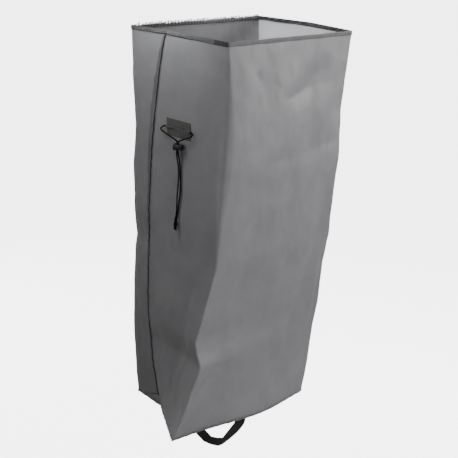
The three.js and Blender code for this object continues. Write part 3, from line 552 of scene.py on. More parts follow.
class Cloth:
    """The sack's outer surface as a grid of rows by columns."""

    def __init__(self):
        top = np.arange(CLOTH_TOP, -TOP_BAND, -TOP_STEP)
        rest = np.linspace(-TOP_BAND, CLOTH_BOTTOM, ROWS_BELOW)
        self.heights = np.concatenate([top[top > -TOP_BAND + BAND_GAP], rest])
        flat = outline_at(-self.heights / HEIGHT)
        rows, columns = flat.shape[:2]
        heights = np.broadcast_to(self.heights[:, None, None], (rows, columns, 1))
        self.points = np.concatenate([flat, heights], -1)
        around = np.linalg.norm(np.roll(flat[0], -1, 0) - flat[0], axis=1)
        self.u = np.concatenate([[0], np.cumsum(around)])
        self.round = self.u[-1]
        self.settle()
        relief = self.relief()
        self.points = self.points + self.normals * relief[..., None]
        self.settle()

    def settle(self):
        """Outward directions and lengths round each row, from the points."""
        p = self.points
        side = np.roll(p, -1, 1) - np.roll(p, 1, 1)
        down = np.gradient(p, axis=0)
        self.normals = unit(np.cross(down, side))
        wrapped = np.concatenate([p, p[:, :1]], 1)
        steps = np.linalg.norm(np.diff(wrapped, axis=1), axis=2)
        self.walk = np.concatenate([np.zeros((len(p), 1)), np.cumsum(steps, 1)], 1)

    def spot(self, fold, across):
        """Material coordinate round the sack of a share across a stretch."""
        names = [stretch[0] for stretch in STRETCHES]
        start = self.u[fold_column(fold)]
        following = names[(names.index(fold) + 1) % len(names)]
        end = self.round if following == "left_back" else self.u[fold_column(following)]
        return start + (end - start) * across

    def relief(self):
        """How far wrinkles, creases and gathers push each spot out."""
        u = self.u[:-1][None, :]
        z = -self.heights[:, None]
        share_u, share_z = u / self.round, z / HEIGHT
        hang = np.clip(z / RIM_FADE, 0, 1)
        sewn = np.clip((HEIGHT - z) / BASE_FADE, SEWN_SHARE, 1)
        relief = 0
        for height, cells_u, cells_v, seed, fades in WRINKLES:
            noise = spline_noise(share_u, share_z, cells_u, cells_v, seed)
            relief = relief + height * noise * (hang if fades else 1) * sewn
        for fold, line, width, depth in CREASES:
            route = [(self.spot(fold, across), drop * HEIGHT) for across, drop in line]
            distance = line_distance(u, z, route)
            length = math.dist(route[0], route[-1])
            middle = ((route[0][0] + route[-1][0]) / 2, (route[0][1] + route[-1][1]) / 2)
            fade = np.exp(-(np.hypot(u - middle[0], z - middle[1]) / (CREASE_FADE * length)) ** 4)
            relief = relief + depth * fade * np.exp(-distance / width)
        back = self.u[fold_column("right_back")]
        on_back = np.clip((u - back) / 0.012, 0, 1) * np.clip((self.round - u) / 0.012, 0, 1)
        gather = np.cos(2 * math.pi * (u - back) / GATHER_PITCH + 1.3 * np.sin(u * 40))
        relief = relief + GATHER_HEIGHT * on_back * gather * np.exp(-z / GATHER_REACH)
        pucker = np.sin(2 * math.pi * u / PUCKER_PITCH + 2 * np.sin(u * 31))
        relief = relief + PUCKER_HEIGHT * (1 - on_back) * pucker * np.exp(-z / PUCKER_REACH)
        beside = u - self.u[fold_column("seam")]
        ripple = np.sin(2 * math.pi * z / SEAM_PITCH + 2 * np.sin(z * 37))
        relief = relief + SEAM_HEIGHT * ripple * np.exp(-np.abs(beside) / SEAM_REACH)
        relief = relief - GROOVE_DEPTH * np.exp(-((beside - GROOVE_WIDTH) / GROOVE_WIDTH) ** 2)
        hem = np.sin(2 * math.pi * u / HEM_PITCH + 2 * np.sin(u * 23))
        return relief + HEM_HEIGHT * hem * np.exp(-(HEIGHT - z) / HEM_REACH)

    def level(self, z):
        """The row above a height, and how far it is from there to the next row."""
        row = float(np.interp(-z, -self.heights, np.arange(len(self.heights))))
        low = min(int(row), len(self.heights) - 2)
        return low, row - low

    def rim_point(self, column, share, z, lift):
        """Point at a height, a share of the way to the next column, moved out on the level."""
        low, down = self.level(z)
        beside = (column + 1) % self.points.shape[1]
        point, normal = (
            (grid[low, column] * (1 - share) + grid[low, beside] * share) * (1 - down)
            + (grid[low + 1, column] * (1 - share) + grid[low + 1, beside] * share) * down
            for grid in (self.points, self.normals)
        )
        point = point + unit(normal * (1, 1, 0)) * lift
        return np.array([point[0], point[1], z])

    def place(self, z, fold, distance, lift=0.0):
        """Point and outward direction at a height, a distance along the cloth from a fold."""
        low, down = self.level(z)
        found = []
        for k in (low, low + 1):
            walk = self.walk[k]
            at = (walk[fold_column(fold)] + distance) % walk[-1]
            values = []
            for grid in (self.points, self.normals):
                line = np.concatenate([grid[k], grid[k, :1]])
                values.append([np.interp(at, walk, line[:, axis]) for axis in range(3)])
            found.append(values)
        point, normal = (np.array(a) * (1 - down) + np.array(b) * down for a, b in zip(*found))
        normal = unit(normal)
        return point + normal * lift, normal


cloth = Cloth()


def make_sack():
    """The walls: the outer grid, and an inner one a cloth's thickness inside it."""
    outer = cloth.points
    inner = outer - cloth.normals * CLOTH
    inner[:, :, 2] = outer[:, :, 2]
    sections = np.concatenate([outer, inner[::-1]], 0).transpose(1, 0, 2)
    heights = np.concatenate([cloth.heights, cloth.heights[::-1], cloth.heights[:1]])
    loft("sack_cloth", sections, True, cloth.u, heights, SACK_CLOTH, "sack_cloth", replaces=["sack_walls"])


# Cords, their knot and the spring lock

CORD = 0.003
BRAID_RELIEF = 0.05
BRAID_FULLNESS = 1.13
BRAID_PITCH = 0.0075
LEFT_ROUTE = [
    (-212.4, 22, -208.5), (-211.7, 30, -208.5), (-211.6, 35, -208.5), (-212.9, 39, -209.9),
    (-216, 41.4, -212.9), (-219, 40.3, -215.9), (-220.6, 36.2, -217.5), (-222.3, 27, -219.9),
    (-224.2, 13, -223.4), (-226.3, -2, -226.6), (-228, -12.6, -228.6), (-228.8, -18.4, -231.3),
    (-228.8, -20.4, -236.4), (-228.8, -20.4, -243), (-228.8, -20.4, -251), (-228.4, -20, -259),
    (-226.6, -20, -268), (-224.6, -20.9, -278), (-223, -22.4, -292), (-222.3, -23.4, -307),
    (-222.1, -23.2, -322), (-222, -22.6, -338), (-221.6, -21.6, -354), (-220.5, -20.8, -370),
    (-219.6, -20.4, -386), (-219.2, -19.1, -402), (-219.2, -16.9, -412), (-219.2, -16.8, -417.9),
]
RIGHT_ROUTE = [
    (-216.2, -34, -208.5), (-216.7, -43, -208.5), (-216.9, -49, -208.5), (-218.4, -53, -209.9),
    (-221.5, -55.4, -212.9), (-224.4, -54.3, -216), (-225.6, -50.6, -218.4), (-225.8, -43, -222),
    (-225.6, -34.4, -225.6), (-225.2, -26.6, -228.6), (-225.2, -21.3, -231.4), (-225.2, -19.2, -236.4),
    (-225.2, -19.2, -243), (-225.2, -19.2, -251), (-224.4, -20.4, -259), (-223.2, -22.8, -268),
    (-222.2, -24.2, -278), (-220.9, -25.4, -292), (-220.2, -26.3, -307), (-219.3, -26.8, -322),
    (-218.5, -27.2, -338), (-217.9, -26.3, -354), (-217.6, -24.3, -370), (-217.4, -23, -386),
    (-217.2, -21.6, -402), (-217.2, -19.5, -412), (-217.2, -19.2, -417.9),
]
LEFT_EXIT = (-0.2117, 0.0315, -0.2085)
RIGHT_EXIT = (-0.2168, -0.0455, -0.2085)
LOCK_PLACE = Matrix.Translation((-0.227, -0.0198, -0.2444)) @ Matrix.Rotation(math.radians(20), 4, "Z")
KNOT_PLACE = Matrix.Translation((-0.2182, -0.018, -0.4237)) @ Matrix.Rotation(math.radians(-70), 4, "Z")


def smooth_line(points, step):
    """A centripetal line through points, with about one point each step."""
    p = np.asarray(points, float)
    p = np.vstack([2 * p[0] - p[1], p, 2 * p[-1] - p[-2]])
    out = []
    for a, b, c, d in zip(p[:-3], p[1:-2], p[2:-1], p[3:]):
        k0 = 0.0
        k1 = k0 + math.sqrt(math.dist(a, b))
        k2 = k1 + math.sqrt(math.dist(b, c))
        k3 = k2 + math.sqrt(math.dist(c, d))
        steps = max(1, round(math.dist(b, c) / step))
        for t in k1 + (k2 - k1) * np.arange(steps) / steps:
            ab = a + (b - a) * (t - k0) / (k1 - k0)
            bc = b + (c - b) * (t - k1) / (k2 - k1)
            cd = c + (d - c) * (t - k2) / (k3 - k2)
            low = ab + (bc - ab) * (t - k0) / (k2 - k0)
            high = bc + (cd - bc) * (t - k1) / (k3 - k1)
            out.append(low + (high - low) * (t - k1) / (k2 - k1))
    return np.array(out + [p[-2]])


def frames_along(line):
    """Two directions across a line at each of its points, that turn as little as they can."""
    tangents = unit(np.gradient(line, axis=0))
    side = np.cross(tangents[0], (0.3, 0.2, 0.9) if abs(tangents[0][2]) < 0.8 else (0.9, 0.3, 0.1))
    sides = []
    for tangent in tangents:
        side = unit(side - tangent * (side @ tangent))
        sides.append(side)
    sides = np.array(sides)
    return sides, np.cross(tangents, sides)


def braided(name, line, diameter, corners=24, tip=0.0, **kind):
    """A round braided cord along a line: crossing strands stand a little proud of it."""
    first, second = frames_along(line)
    along = lengths_along(line)
    angle = 2 * math.pi * np.arange(corners) / corners
    turn = along[:, None] * (2 * math.pi / BRAID_PITCH)
    strands = np.sin(4 * angle[None, :] + 4 * turn) * np.sin(4 * angle[None, :] - 4 * turn)
    radius = diameter / 2 * BRAID_FULLNESS * (1 - BRAID_RELIEF + BRAID_RELIEF * strands)
    if tip:
        radius = radius * np.sqrt(np.clip((along[-1] - along) / tip, 0.05, 1))[:, None]
    sections = (
        line[:, None, :]
        + first[:, None, :] * (radius * np.cos(angle))[..., None]
        + second[:, None, :] * (radius * np.sin(angle))[..., None]
    )
    around = np.linspace(0, math.pi * diameter, corners + 1)
    return loft(name, sections, False, along, around, CORD_BRAID, "cord", **kind)


# The knot's strands in its own frame: how they run in and out of its turns, across them and behind
KNOT_LEAD_IN = [(-0.0006, 0.0002, 0.0062), (0.0004, 0.0004, 0.0052)]
KNOT_LEAD_OUT = [
    (0.0006, -0.0003, -0.0046), (0.0012, -0.0002, -0.0075), (0.0016, 0.0002, -0.0105),
    (0.0018, 0.0003, -0.0128),
]
KNOT_CROSSING = [
    (0.0012, 0.0006, 0.0061), (0.0024, -0.0012, 0.0048), (0.0036, -0.0024, 0.0024),
    (0.0028, -0.0038, -0.0002), (0.0008, -0.0042, -0.0026), (-0.0012, -0.0028, -0.0046),
    (-0.0016, -0.001, -0.0066), (-0.0017, -0.0004, -0.009), (-0.0019, -0.0002, -0.0112),
]
KNOT_BACK = [
    (-0.0022, 0.0016, 0.0044), (-0.0038, 0.0022, 0.0018), (-0.0036, 0.0028, -0.0012),
    (-0.0016, 0.0034, -0.0036),
]
KNOT_WRAPS = 2.35
TAIL_TIP = 0.0012


def make_knot():
    """An overhand knot of the two strands: stacked turns, one that crosses them, and two tails."""
    turns = np.linspace(0, 1, 60)
    angle = 2 * math.pi * (KNOT_WRAPS * turns + 0.1)
    radius = 0.00275 + 0.00035 * np.sin(9 * turns)
    height = 0.0036 - 0.0068 * turns + 0.0007 * np.sin(angle)
    wraps = np.stack([radius * np.cos(angle), radius * np.sin(angle), height], 1)
    pieces = []
    for name, route, tip in (
        ("knot_turns", np.vstack([KNOT_LEAD_IN, wraps, KNOT_LEAD_OUT]), TAIL_TIP),
        ("knot_crossing", KNOT_CROSSING, TAIL_TIP),
        ("knot_back", KNOT_BACK, 0.0),
    ):
        points = np.array([KNOT_PLACE @ Vector(p) for p in np.asarray(route)])
        pieces.append(braided(name, smooth_line(points, 0.0006), CORD, corners=16, tip=tip))
    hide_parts("cord_knot")
    return pieces


def turned(name, profile, place, sides, body, node):
    """A round solid about its own Y axis, from radii and heights in metres."""
    angle = 2 * math.pi * np.arange(sides) / sides
    rings = []
    for radius, y in profile:
        radius = max(radius, 1e-5)
        ring = np.stack([radius * np.cos(angle), np.full(sides, y), radius * np.sin(angle)], 1)
        rings.append(ring)
    sections = np.array([[place @ Vector(p) for p in ring] for ring in rings])
    along = lengths_along(np.array(profile))
    around = np.linspace(0, 0.04, sides + 1)
    return loft(name, sections, False, along, around, LOCK_PLASTIC, "lock_plastic", body, [node])


def rounded(corners, radius, steps=4):
    """A profile with each of its inner corners rounded."""
    points = [np.array(corners[0])]
    for before, here, after in zip(corners[:-2], corners[1:-1], corners[2:]):
        before, here, after = (np.array(p, float) for p in (before, here, after))
        reach = min(radius, np.linalg.norm(before - here) / 2.2, np.linalg.norm(after - here) / 2.2)
        start, end = here + unit(before - here) * reach, here + unit(after - here) * reach
        for k in range(steps + 1):
            t = k / steps
            points.append((1 - t) ** 2 * start + 2 * t * (1 - t) * here + t * t * end)
    points.append(np.array(corners[-1]))
    return [tuple(p) for p in points]


def cut_slot(piece, low, high):
    """Cuts the cord's slot through a piece of the lock, with the box's corners in the lock's frame."""
    x0, y0, z0 = low
    x1, y1, z1 = high
    corners = [(x, y, z) for x in (x0, x1) for y in (y0, y1) for z in (z0, z1)]
    mesh = bpy.data.meshes.new("slot")
    faces = [(0, 1, 3, 2), (4, 6, 7, 5), (0, 4, 5, 1), (2, 3, 7, 6), (0, 2, 6, 4), (1, 5, 7, 3)]
    mesh.from_pydata([LOCK_PLACE @ Vector(c) for c in corners], [], faces)
    cutter = bpy.data.objects.new("slot", mesh)
    scene.collection.objects.link(cutter)
    modifier = piece.modifiers.new("slot", "BOOLEAN")
    modifier.operation = "DIFFERENCE"
    modifier.solver = "EXACT"
    modifier.object = cutter
    bpy.context.view_layer.update()
    evaluated = piece.evaluated_get(bpy.context.evaluated_depsgraph_get())
    cut = bpy.data.meshes.new_from_object(evaluated)
    piece.modifiers.clear()
    piece.data = cut
    bpy.data.objects.remove(cutter)


# The barrel's outline and the button's, as radius and height along the lock
BARREL_OUTLINE = [
    (0.0, 0.0066), (0.0056, 0.0066), (0.0056, -0.0055), (0.007, -0.0055), (0.007, -0.0036),
    (0.0067, -0.0032), (0.0067, 0.0048), (0.008, 0.0052), (0.008, 0.0081), (0.0062, 0.0081),
    (0.0058, 0.0076), (0.0, 0.0076),
]
BUTTON_STEM = [(0.0, 0.0033), (0.0053, 0.0033), (0.0053, -0.0088), (0.0073, -0.0088)]
BUTTON_FACE = [(0.007, -0.0121), (0.0048, -0.0123), (0.0042, -0.0117), (0.0, -0.0115)]
BUTTON_RIBS = 3
BUTTON_RIB_PITCH = 0.00085
LOCK_SIDES = 48
# opposite corners of the cord's slot
BARREL_SLOT = ((-0.0036, -0.0018, -0.02), (0.0036, 0.0018, 0.02))
BUTTON_SLOT = ((-0.0036, -0.0048, -0.02), (0.0036, 0.0018, 0.02))


def make_lock():
    """The spring lock: a barrel with a flanged end, and a ribbed button on a plunger."""
    barrel = rounded(BARREL_OUTLINE, 0.0005)
    lock_barrel = turned("cord_lock_barrel", barrel, LOCK_PLACE, LOCK_SIDES, "sack", "lock_barrel")
    cut_slot(lock_barrel, *BARREL_SLOT)
    ribs = []
    for k in range(BUTTON_RIBS):
        y = -0.0093 - BUTTON_RIB_PITCH * k
        ribs += [(0.0075, y), (0.0075, y - 0.00045), (0.0071, y - 0.0006), (0.0071, y - 0.0008)]
    button = rounded([*BUTTON_STEM, *ribs, *BUTTON_FACE], 0.0003)
    lock_button = turned("cord_lock_button", button, LOCK_PLACE, LOCK_SIDES, "plunger", "lock_plunger")
    cut_slot(lock_button, *BUTTON_SLOT)
    return [lock_barrel, lock_button]


def make_cords():
    lock = make_lock()
    knot = make_knot()
    for name, route, exit_point, node, going in (
        ("drawcord_left", LEFT_ROUTE, LEFT_EXIT, "cord_left", [*lock, *knot]),
        ("drawcord_right", RIGHT_ROUTE, RIGHT_EXIT, "cord_right", []),
    ):
        line = smooth_line(np.array(route) / 1000, 0.0007)
        strand = braided(name, line, CORD, replaces=[node])


make_cords()
make_sack()


# Stitches


# length, width, height as a share of the width, thread and slot
STITCHES = {
    "rim_stitching": (0.0032, 0.0006, 0.6, THREAD, "rim_tape"),
    "rim_overlock": (0.0095, 0.0042, 1.0, DARK_THREAD_AND_SHADE, "rim_tape"),
    "overlock_and_seam_shadow": (0.0034, 0.0012, 0.6, DARK_THREAD_AND_SHADE, "seam_cloth"),
    "overlock_and_seam_shadow_low": (0.0022, 0.0008, 0.6, DARK_THREAD_AND_SHADE, "seam_cloth"),
    "tack_and_crease_shade": (0.0046, 0.0014, 0.6, DARK_THREAD_AND_SHADE, "seam_cloth"),
    "seam_stitching": (0.0028, 0.0005, 0.6, THREAD, "seam_cloth"),
    "tunnel_stitching": (0.0025, 0.0005, 0.6, THREAD, "tunnel_tape"),
    "hem_stitching": (0.003, 0.0005, 0.6, THREAD, "base_cloth"),
    "strap_stitching": (0.0026, 0.0006, 0.6, THREAD, "webbing"),
}
# distance from one stitch to the next
PITCHES = {
    "rim_stitching": 0.0042, "overlock_and_seam_shadow": 0.0021, "overlock_and_seam_shadow_low": 0.0021, "tack_and_crease_shade": 0.0026,
    "seam_stitching": 0.0036, "tunnel_stitching": 0.0031, "hem_stitching": 0.004, "strap_stitching": 0.0032,
}


def stitches(name, spots):
    """Short threads, each a long eight-sided bead at (place, way along, way out)."""
    length, width, height, material, slot = STITCHES[name]
    points, faces = [], []
    for point, way, out in spots:
        side = np.cross(out, way)
        base = len(points)
        for offset in (way * length / 2, -way * length / 2, side * width / 2, -side * width / 2,
                       out * width * height, -out * width * height / 2):
            points.append(point + offset)
        a, b, c, d, e, f = range(base, base + 6)
        faces += [(a, c, e), (c, b, e), (b, d, e), (d, a, e), (c, a, f), (b, c, f), (d, b, f), (a, d, f)]
    uv = np.tile([[0, 0], [width, 0], [width, width]], (len(faces), 1))
    shown(name, points, faces, material, uv)


def along_line(at, along, values):
    """A line's point, or direction, at a length along it."""
    return np.array([np.interp(at, along, values[:, k]) for k in range(3)])


def stitch_row(line, outs, pitch, slant=0.0):
    """Evenly spaced stitch spots along a line, given its outward directions."""
    along = lengths_along(line)
    spots = []
    for at in np.arange(pitch / 2, along[-1], pitch):
        ahead = along_line(min(at + 0.001, along[-1]), along, line)
        behind = along_line(max(at - 0.001, 0), along, line)
        out = unit(along_line(at, along, outs))
        way = unit(ahead - behind)
        way = unit(way + slant * np.cross(out, way))
        spots.append((along_line(at, along, line), way, out))
    return spots


def sew(name, rows, slant=0.0, more=()):
    """Stitches of one kind along rows, each a line and its outward directions, and at more spots."""
    spots = [spot for line, outs in rows for spot in stitch_row(line, outs, PITCHES[name], slant)]
    stitches(name, [*spots, *more])


# Rim tape

TAPE_HEIGHT = 0.010
TAPE = 0.0009
TAPE_GAP = 0.0003
GATHER_DEPTH = 0.0034
TAPE_OVERLAP = 0.042
TUFT_PITCH = (0.0065, 0.0125)
TUFT_LEAN = (-1.1, -0.4)
TUFT_LIFT = (-0.0012, 0.0016)
TUFT_MARGIN = 0.006
# shares of half a turn at which the tape's rounded top has its points
TOP_ANGLES = (0.15, 0.32, 0.5, 0.68, 0.85)
STITCH_INSET = 0.0018


def make_rim_tape():
    """Tape folded over the cloth's edge. Along the back it is gathered into small pleats."""
    back = cloth.u[fold_column("right_back")]
    out = TAPE_GAP + TAPE
    inner = -CLOTH - out
    half = out + CLOTH / 2
    sections, alongs, stitch_out, stitch_in, outs = [], [], [], [], []
    columns = cloth.points.shape[1]
    for column in range(columns):
        on_back = cloth.u[column] > back + 0.004 and column < columns - 2
        steps = 2 if on_back else 3
        for k in range(steps):
            share = k / steps
            u = cloth.u[column] * (1 - share) + cloth.u[column + 1] * share
            phase = math.pi * (u - back) / GATHER_PITCH + 0.65 * math.sin(u * 40)
            wobble = 0.25 * math.sin(u * 53) + 0.2 * math.sin(u * 131)
            bump = abs(math.sin(phase)) if on_back else 1
            dip = GATHER_DEPTH * (1 - bump) ** 0.7 * (0.8 + wobble) if on_back else 0.0
            pleat = 0.0007 * math.cos(2 * phase) if on_back else 0.00012 * math.sin(u * 170)
            low = -TAPE_HEIGHT + 0.0003 * math.sin(u * 70)
            top = -dip
            centre = -CLOTH / 2 + pleat
            upper = low * 0.4 + top * 0.6
            middle = low * 0.5 + top * 0.5 - 0.001
            spots = [(low, out), (low * 0.7, out + 0.0002 + pleat / 2), (upper, out + 0.0002 + pleat)]
            for angle in TOP_ANGLES:
                sag = half * 0.9 * (1 - math.sin(math.pi * angle))
                spots.append((top - sag, centre + half * math.cos(math.pi * angle)))
            spots += [(upper, inner - 0.0002 + pleat), (low * 0.7, inner - 0.0002 + pleat / 2), (low, inner)]
            spots += [(low, inner + TAPE), (middle, inner + TAPE + pleat), (top - TAPE, centre)]
            spots += [(middle, out - TAPE + pleat), (low, out - TAPE)]
            sections.append([cloth.rim_point(column, share, z, lift) for z, lift in spots])
            alongs.append(u)
            beside = cloth.normals[1, (column + 1) % columns]
            outs.append(unit((cloth.normals[1, column] * (1 - share) + beside * share) * (1, 1, 0)))
            for line, lift in ((stitch_out, out + 0.00015), (stitch_in, inner - 0.00015)):
                line.append(cloth.rim_point(column, share, low + STITCH_INSET, lift + pleat * 0.2))
    sections = np.array(sections)
    around = np.linspace(0, 0.024, sections.shape[1] + 1)
    alongs = np.array(alongs + [cloth.round])
    binding = loft("rim_binding", sections, True, alongs, around, RIM_TAPE, "rim_tape", replaces=["rim_tape"])
    for material in (RIM_PAINTED_LIGHT, RIM_PAINTED_SHADE, RIM_LAP):
        binding.data.materials.append(material)
    # Tones of the one tape: the lighter copy along the front panel is painted light, and the near-black copy
    # on the right panel and on the top of the back is painted shade. The rim_tape_lap tone is darker over the
    # last stretch before the front left fold.
    front, right = cloth.u[fold_column("left_front")], cloth.u[fold_column("right_front")]
    here, spot = np.broadcast_arrays(alongs[:-1, None], np.arange(sections.shape[1])[None, :])
    light = (here > front) & (here < right)
    dark = ((here >= right) & (here < back)) | ((here > back) & (spot >= 3) & (spot < 7))
    lap = (here > front - TAPE_OVERLAP) & (here < front)
    finish = np.select([lap, dark, light], [3, 2, 1], 0)
    binding.data.polygons.foreach_set("material_index", finish.ravel())
    outs = np.array(outs)
    sew("rim_stitching", [(np.array(stitch_out), outs), (np.array(stitch_in), -outs)])


def make_rim_tufts():
    """Loose ends of dark overlock thread that stand up along the back of the rim."""
    random = np.random.default_rng(12)
    walked = cloth.u[fold_column("right_back")] + TUFT_MARGIN
    tufts = []
    while walked < cloth.round - TUFT_MARGIN:
        point, normal = (along_line(walked, cloth.u[:-1], grid[1]) for grid in (cloth.points, cloth.normals))
        normal = unit(normal * (1, 1, 0))
        lean = random.uniform(*TUFT_LEAN)
        way = unit(np.array([0, 0, 1.0]) + np.cross((0, 0, 1.0), normal) * lean)
        point = point - normal * CLOTH / 2
        point[2] = random.uniform(*TUFT_LIFT)
        tufts.append((point, way, normal))
        walked += random.uniform(*TUFT_PITCH)
    stitches("rim_overlock", tufts)


make_rim_tape()
make_rim_tufts()


# Seam allowance down the left panel

FLAP_WIDTH = 0.013
FLAP_TOP = -0.0106
FLAP_ROWS = 260
FLAP_SECTIONS = np.array([
    [0.014, 0.42], [0.1, 0.7], [0.2, 1], [0.3, 0.85], [0.38, 0.58], [0.55, 0.4], [0.7, 0.3], [0.968, 0.26],
])
# size of the rolled edge from one drop to the other
ROLL_FROM = (0.35, 0.75)
ROLL_SIZE = (1.0, 0.45)
# part of the drop over which the overlock, partly painted shadow of the gap beside the flap, is broad
BROAD_SHARE = 0.55
OVERLOCK_SLANT = 1.1
# the tack at the seam's foot: drops and places beside the seam of its two ends, and its bar. The dark row
# between the ends runs along a crease and is partly stitching, partly painted shade of that crease
TACK_DROPS = (0.9895, 0.9675)
TACK_BESIDE = (-0.057, 0.002)
BAR_DROP = 0.967
BAR_STITCHES = 7
BAR_PITCH = 0.0011


def make_seam():
    """The folded seam allowance, its rolled edge overlocked with dark thread. The dark thread and the dark
    faces of the rolled edge are also painted shadow of the gap beside the flap.
    """
    heights = np.linspace(FLAP_TOP, -HEIGHT * FLAP_SECTIONS[-1, 0], FLAP_ROWS)
    sections, edge, edge_out, row, row_out = [], [], [], [], []
    for z in heights:
        width = float(np.interp(-z / HEIGHT, FLAP_SECTIONS[:, 0], FLAP_SECTIONS[:, 1])) * FLAP_WIDTH
        width *= 1 + 0.05 * math.sin(z * 210) + 0.04 * math.sin(z * 97)
        swell = 1 + 0.16 * math.sin(z * 260 + 2 * math.sin(z * 41)) + 0.1 * math.sin(z * 611)
        roll = float(np.interp(-z / HEIGHT, ROLL_FROM, ROLL_SIZE))
        swell *= 0.4 + 0.6 * roll
        profile = [
            (0.0012 * roll, 0.0005), (0.0014 * roll, 0.0014 * swell), (0.0006 * roll, 0.0026 * swell),
            (-0.0008 * roll, 0.0029 * swell), (-0.002 * roll, 0.0022 * swell),
            (-0.35 * width - 0.0004, 0.0016 * swell), (-0.6 * width, 0.0017 * swell),
            (-0.85 * width, 0.0015 * swell), (-0.97 * width, 0.0011), (-width, 0.0005),
            (-0.6 * width, 0.0002), (-0.3 * width, 0.0002),
        ]
        sections.append([cloth.place(z, "seam", side, lift)[0] for side, lift in profile])
        point, out = cloth.place(z, "seam", 0.0016 * roll, 0.0013 * roll)
        edge.append(point)
        edge_out.append(out)
        point, out = cloth.place(z, "seam", -0.42 * width, 0.0017 * swell)
        row.append(point)
        row_out.append(out)
    around = np.linspace(0, 0.03, len(sections[0]) + 1)
    flap = loft("seam_allowance", np.array(sections), False, -heights, around, SEAM_CLOTH, "seam_cloth",
                replaces=["seam_flap"])
    flap.data.materials.append(DARK_THREAD_AND_SHADE)
    bands, size = len(sections) - 1, len(sections[0])
    # The rolled edge's faces take the dark thread: partly a dark overlock, partly painted shadow of the gap
    # beside the flap.
    edge_faces = np.tile((np.arange(size) < 2).astype(int), bands)
    flap.data.polygons.foreach_set("material_index", np.concatenate([edge_faces, [0, 0]]))
    edge, edge_out, row, row_out = (np.array(x) for x in (edge, edge_out, row, row_out))
    broad = heights > -HEIGHT * BROAD_SHARE
    for name, part in (("overlock_and_seam_shadow", broad), ("overlock_and_seam_shadow_low", ~broad)):
        sew(name, [(edge[part], edge_out[part])], OVERLOCK_SLANT)
    # The dark stitched row is partly stitching and partly painted shade along the crease at the seam's foot.
    tack_and_shade_line = [
        cloth.place(-HEIGHT * drop, "seam", beside, 0.0004)
        for drop, beside in zip(np.linspace(*TACK_DROPS, 40), np.linspace(*TACK_BESIDE, 40))
    ]
    line, outs = (np.array([pair[k] for pair in tack_and_shade_line]) for k in (0, 1))
    way = unit(line[-1] - line[0])
    bar = []
    for k in range(BAR_STITCHES):
        z = -HEIGHT * BAR_DROP + BAR_PITCH * (k - BAR_STITCHES // 2)
        point, out = cloth.place(z, "seam", 0.0005, 0.0008)
        bar.append((point, way, out))
    sew("tack_and_crease_shade", [(line, outs)], more=bar)
    sew("seam_stitching", [(row, row_out)])


make_seam()


# Tunnel for the drawcord

TUNNEL_LENGTH = 0.077
TUNNEL_HEIGHT = 0.038
TUNNEL_DROP = 0.2085
TUNNEL_FROM_SEAM = 0.084
TUNNEL_SKEW = 0.007
TUNNEL_TAPE_THICKNESS = 0.0012
TUNNEL_STITCH_ROWS = (0.0068, -0.0068, 0.0165, -0.0165)


def make_tunnel():
    """A dark woven patch, stitched above and below the arch that the cord runs in."""
    half = TUNNEL_HEIGHT / 2
    tape = TUNNEL_TAPE_THICKNESS
    arch = [(0.0033 * math.cos(a), 0.0053 * math.sin(a)) for a in np.linspace(0.12, math.pi - 0.12, 9)]
    hollow = [(0.002 * math.cos(a), 0.004 * math.sin(a)) for a in np.linspace(math.pi, 0, 7)]
    outer = [
        (half, 0.0002), (half, tape * 0.8), (half - 0.0006, tape), (half * 0.6, tape), (0.0075, tape),
        (0.0046, tape * 1.15),
    ]
    top = [*outer, *arch, *((-x, y) for x, y in reversed(outer))]
    bottom = [(-half * 0.6, 0.0001), (-0.0026, 0.0001), *hollow, (0.0026, 0.0001), (half * 0.6, 0.0001)]
    profile = [*top, *bottom]
    steps = 40
    sections, alongs = [], []
    stitch_lines = {height: [] for height in TUNNEL_STITCH_ROWS}
    outs = []
    for i in range(steps + 1):
        share = i / steps - 0.5
        distance = TUNNEL_FROM_SEAM + TUNNEL_LENGTH * share
        end = abs(share) * 2
        curl = 0.0009 * end**6
        section = []
        open_share = np.clip((end - 0.3) / 0.4, 0, 1) ** 2 * 0.75 + 0.25
        for x, y in profile:
            z = -TUNNEL_DROP + x
            if abs(x) < 0.004:
                y = tape * (y > tape) + (y - tape * (y > tape)) * open_share
            skewed = distance - TUNNEL_SKEW * x / TUNNEL_HEIGHT
            lift = y + 0.0002 + curl * abs(x) / half + 0.0002 * math.sin(9 * share + 180 * x)
            section.append(cloth.place(z, "seam", skewed, lift)[0])
        sections.append(section)
        alongs.append(distance)
        for height, line in stitch_lines.items():
            skewed = distance - TUNNEL_SKEW * height / TUNNEL_HEIGHT
            lift = tape + 0.0004 + curl * abs(height) / half
            point, out = cloth.place(-TUNNEL_DROP + height, "seam", skewed, lift)
            line.append(point)
            outs.append(out)
    heights = np.array([x for x, _ in profile] + [profile[0][0]])
    loft(
        "drawcord_tunnel", np.array(sections), False, np.array(alongs), heights, TUNNEL_TAPE, "tunnel_tape",
        replaces=["cord_tunnel"],
    )
    outs = np.array(outs).reshape(steps + 1, len(stitch_lines), 3)
    sew("tunnel_stitching", [(np.array(line), outs[:, k]) for k, line in enumerate(stitch_lines.values())])


make_tunnel()


# Base, its hem and the handle strap

BASE_LEVEL = -0.8994
BASE_SAG = 0.0022
HEM_LEVEL = -0.8992
HEM_ROW = -0.892


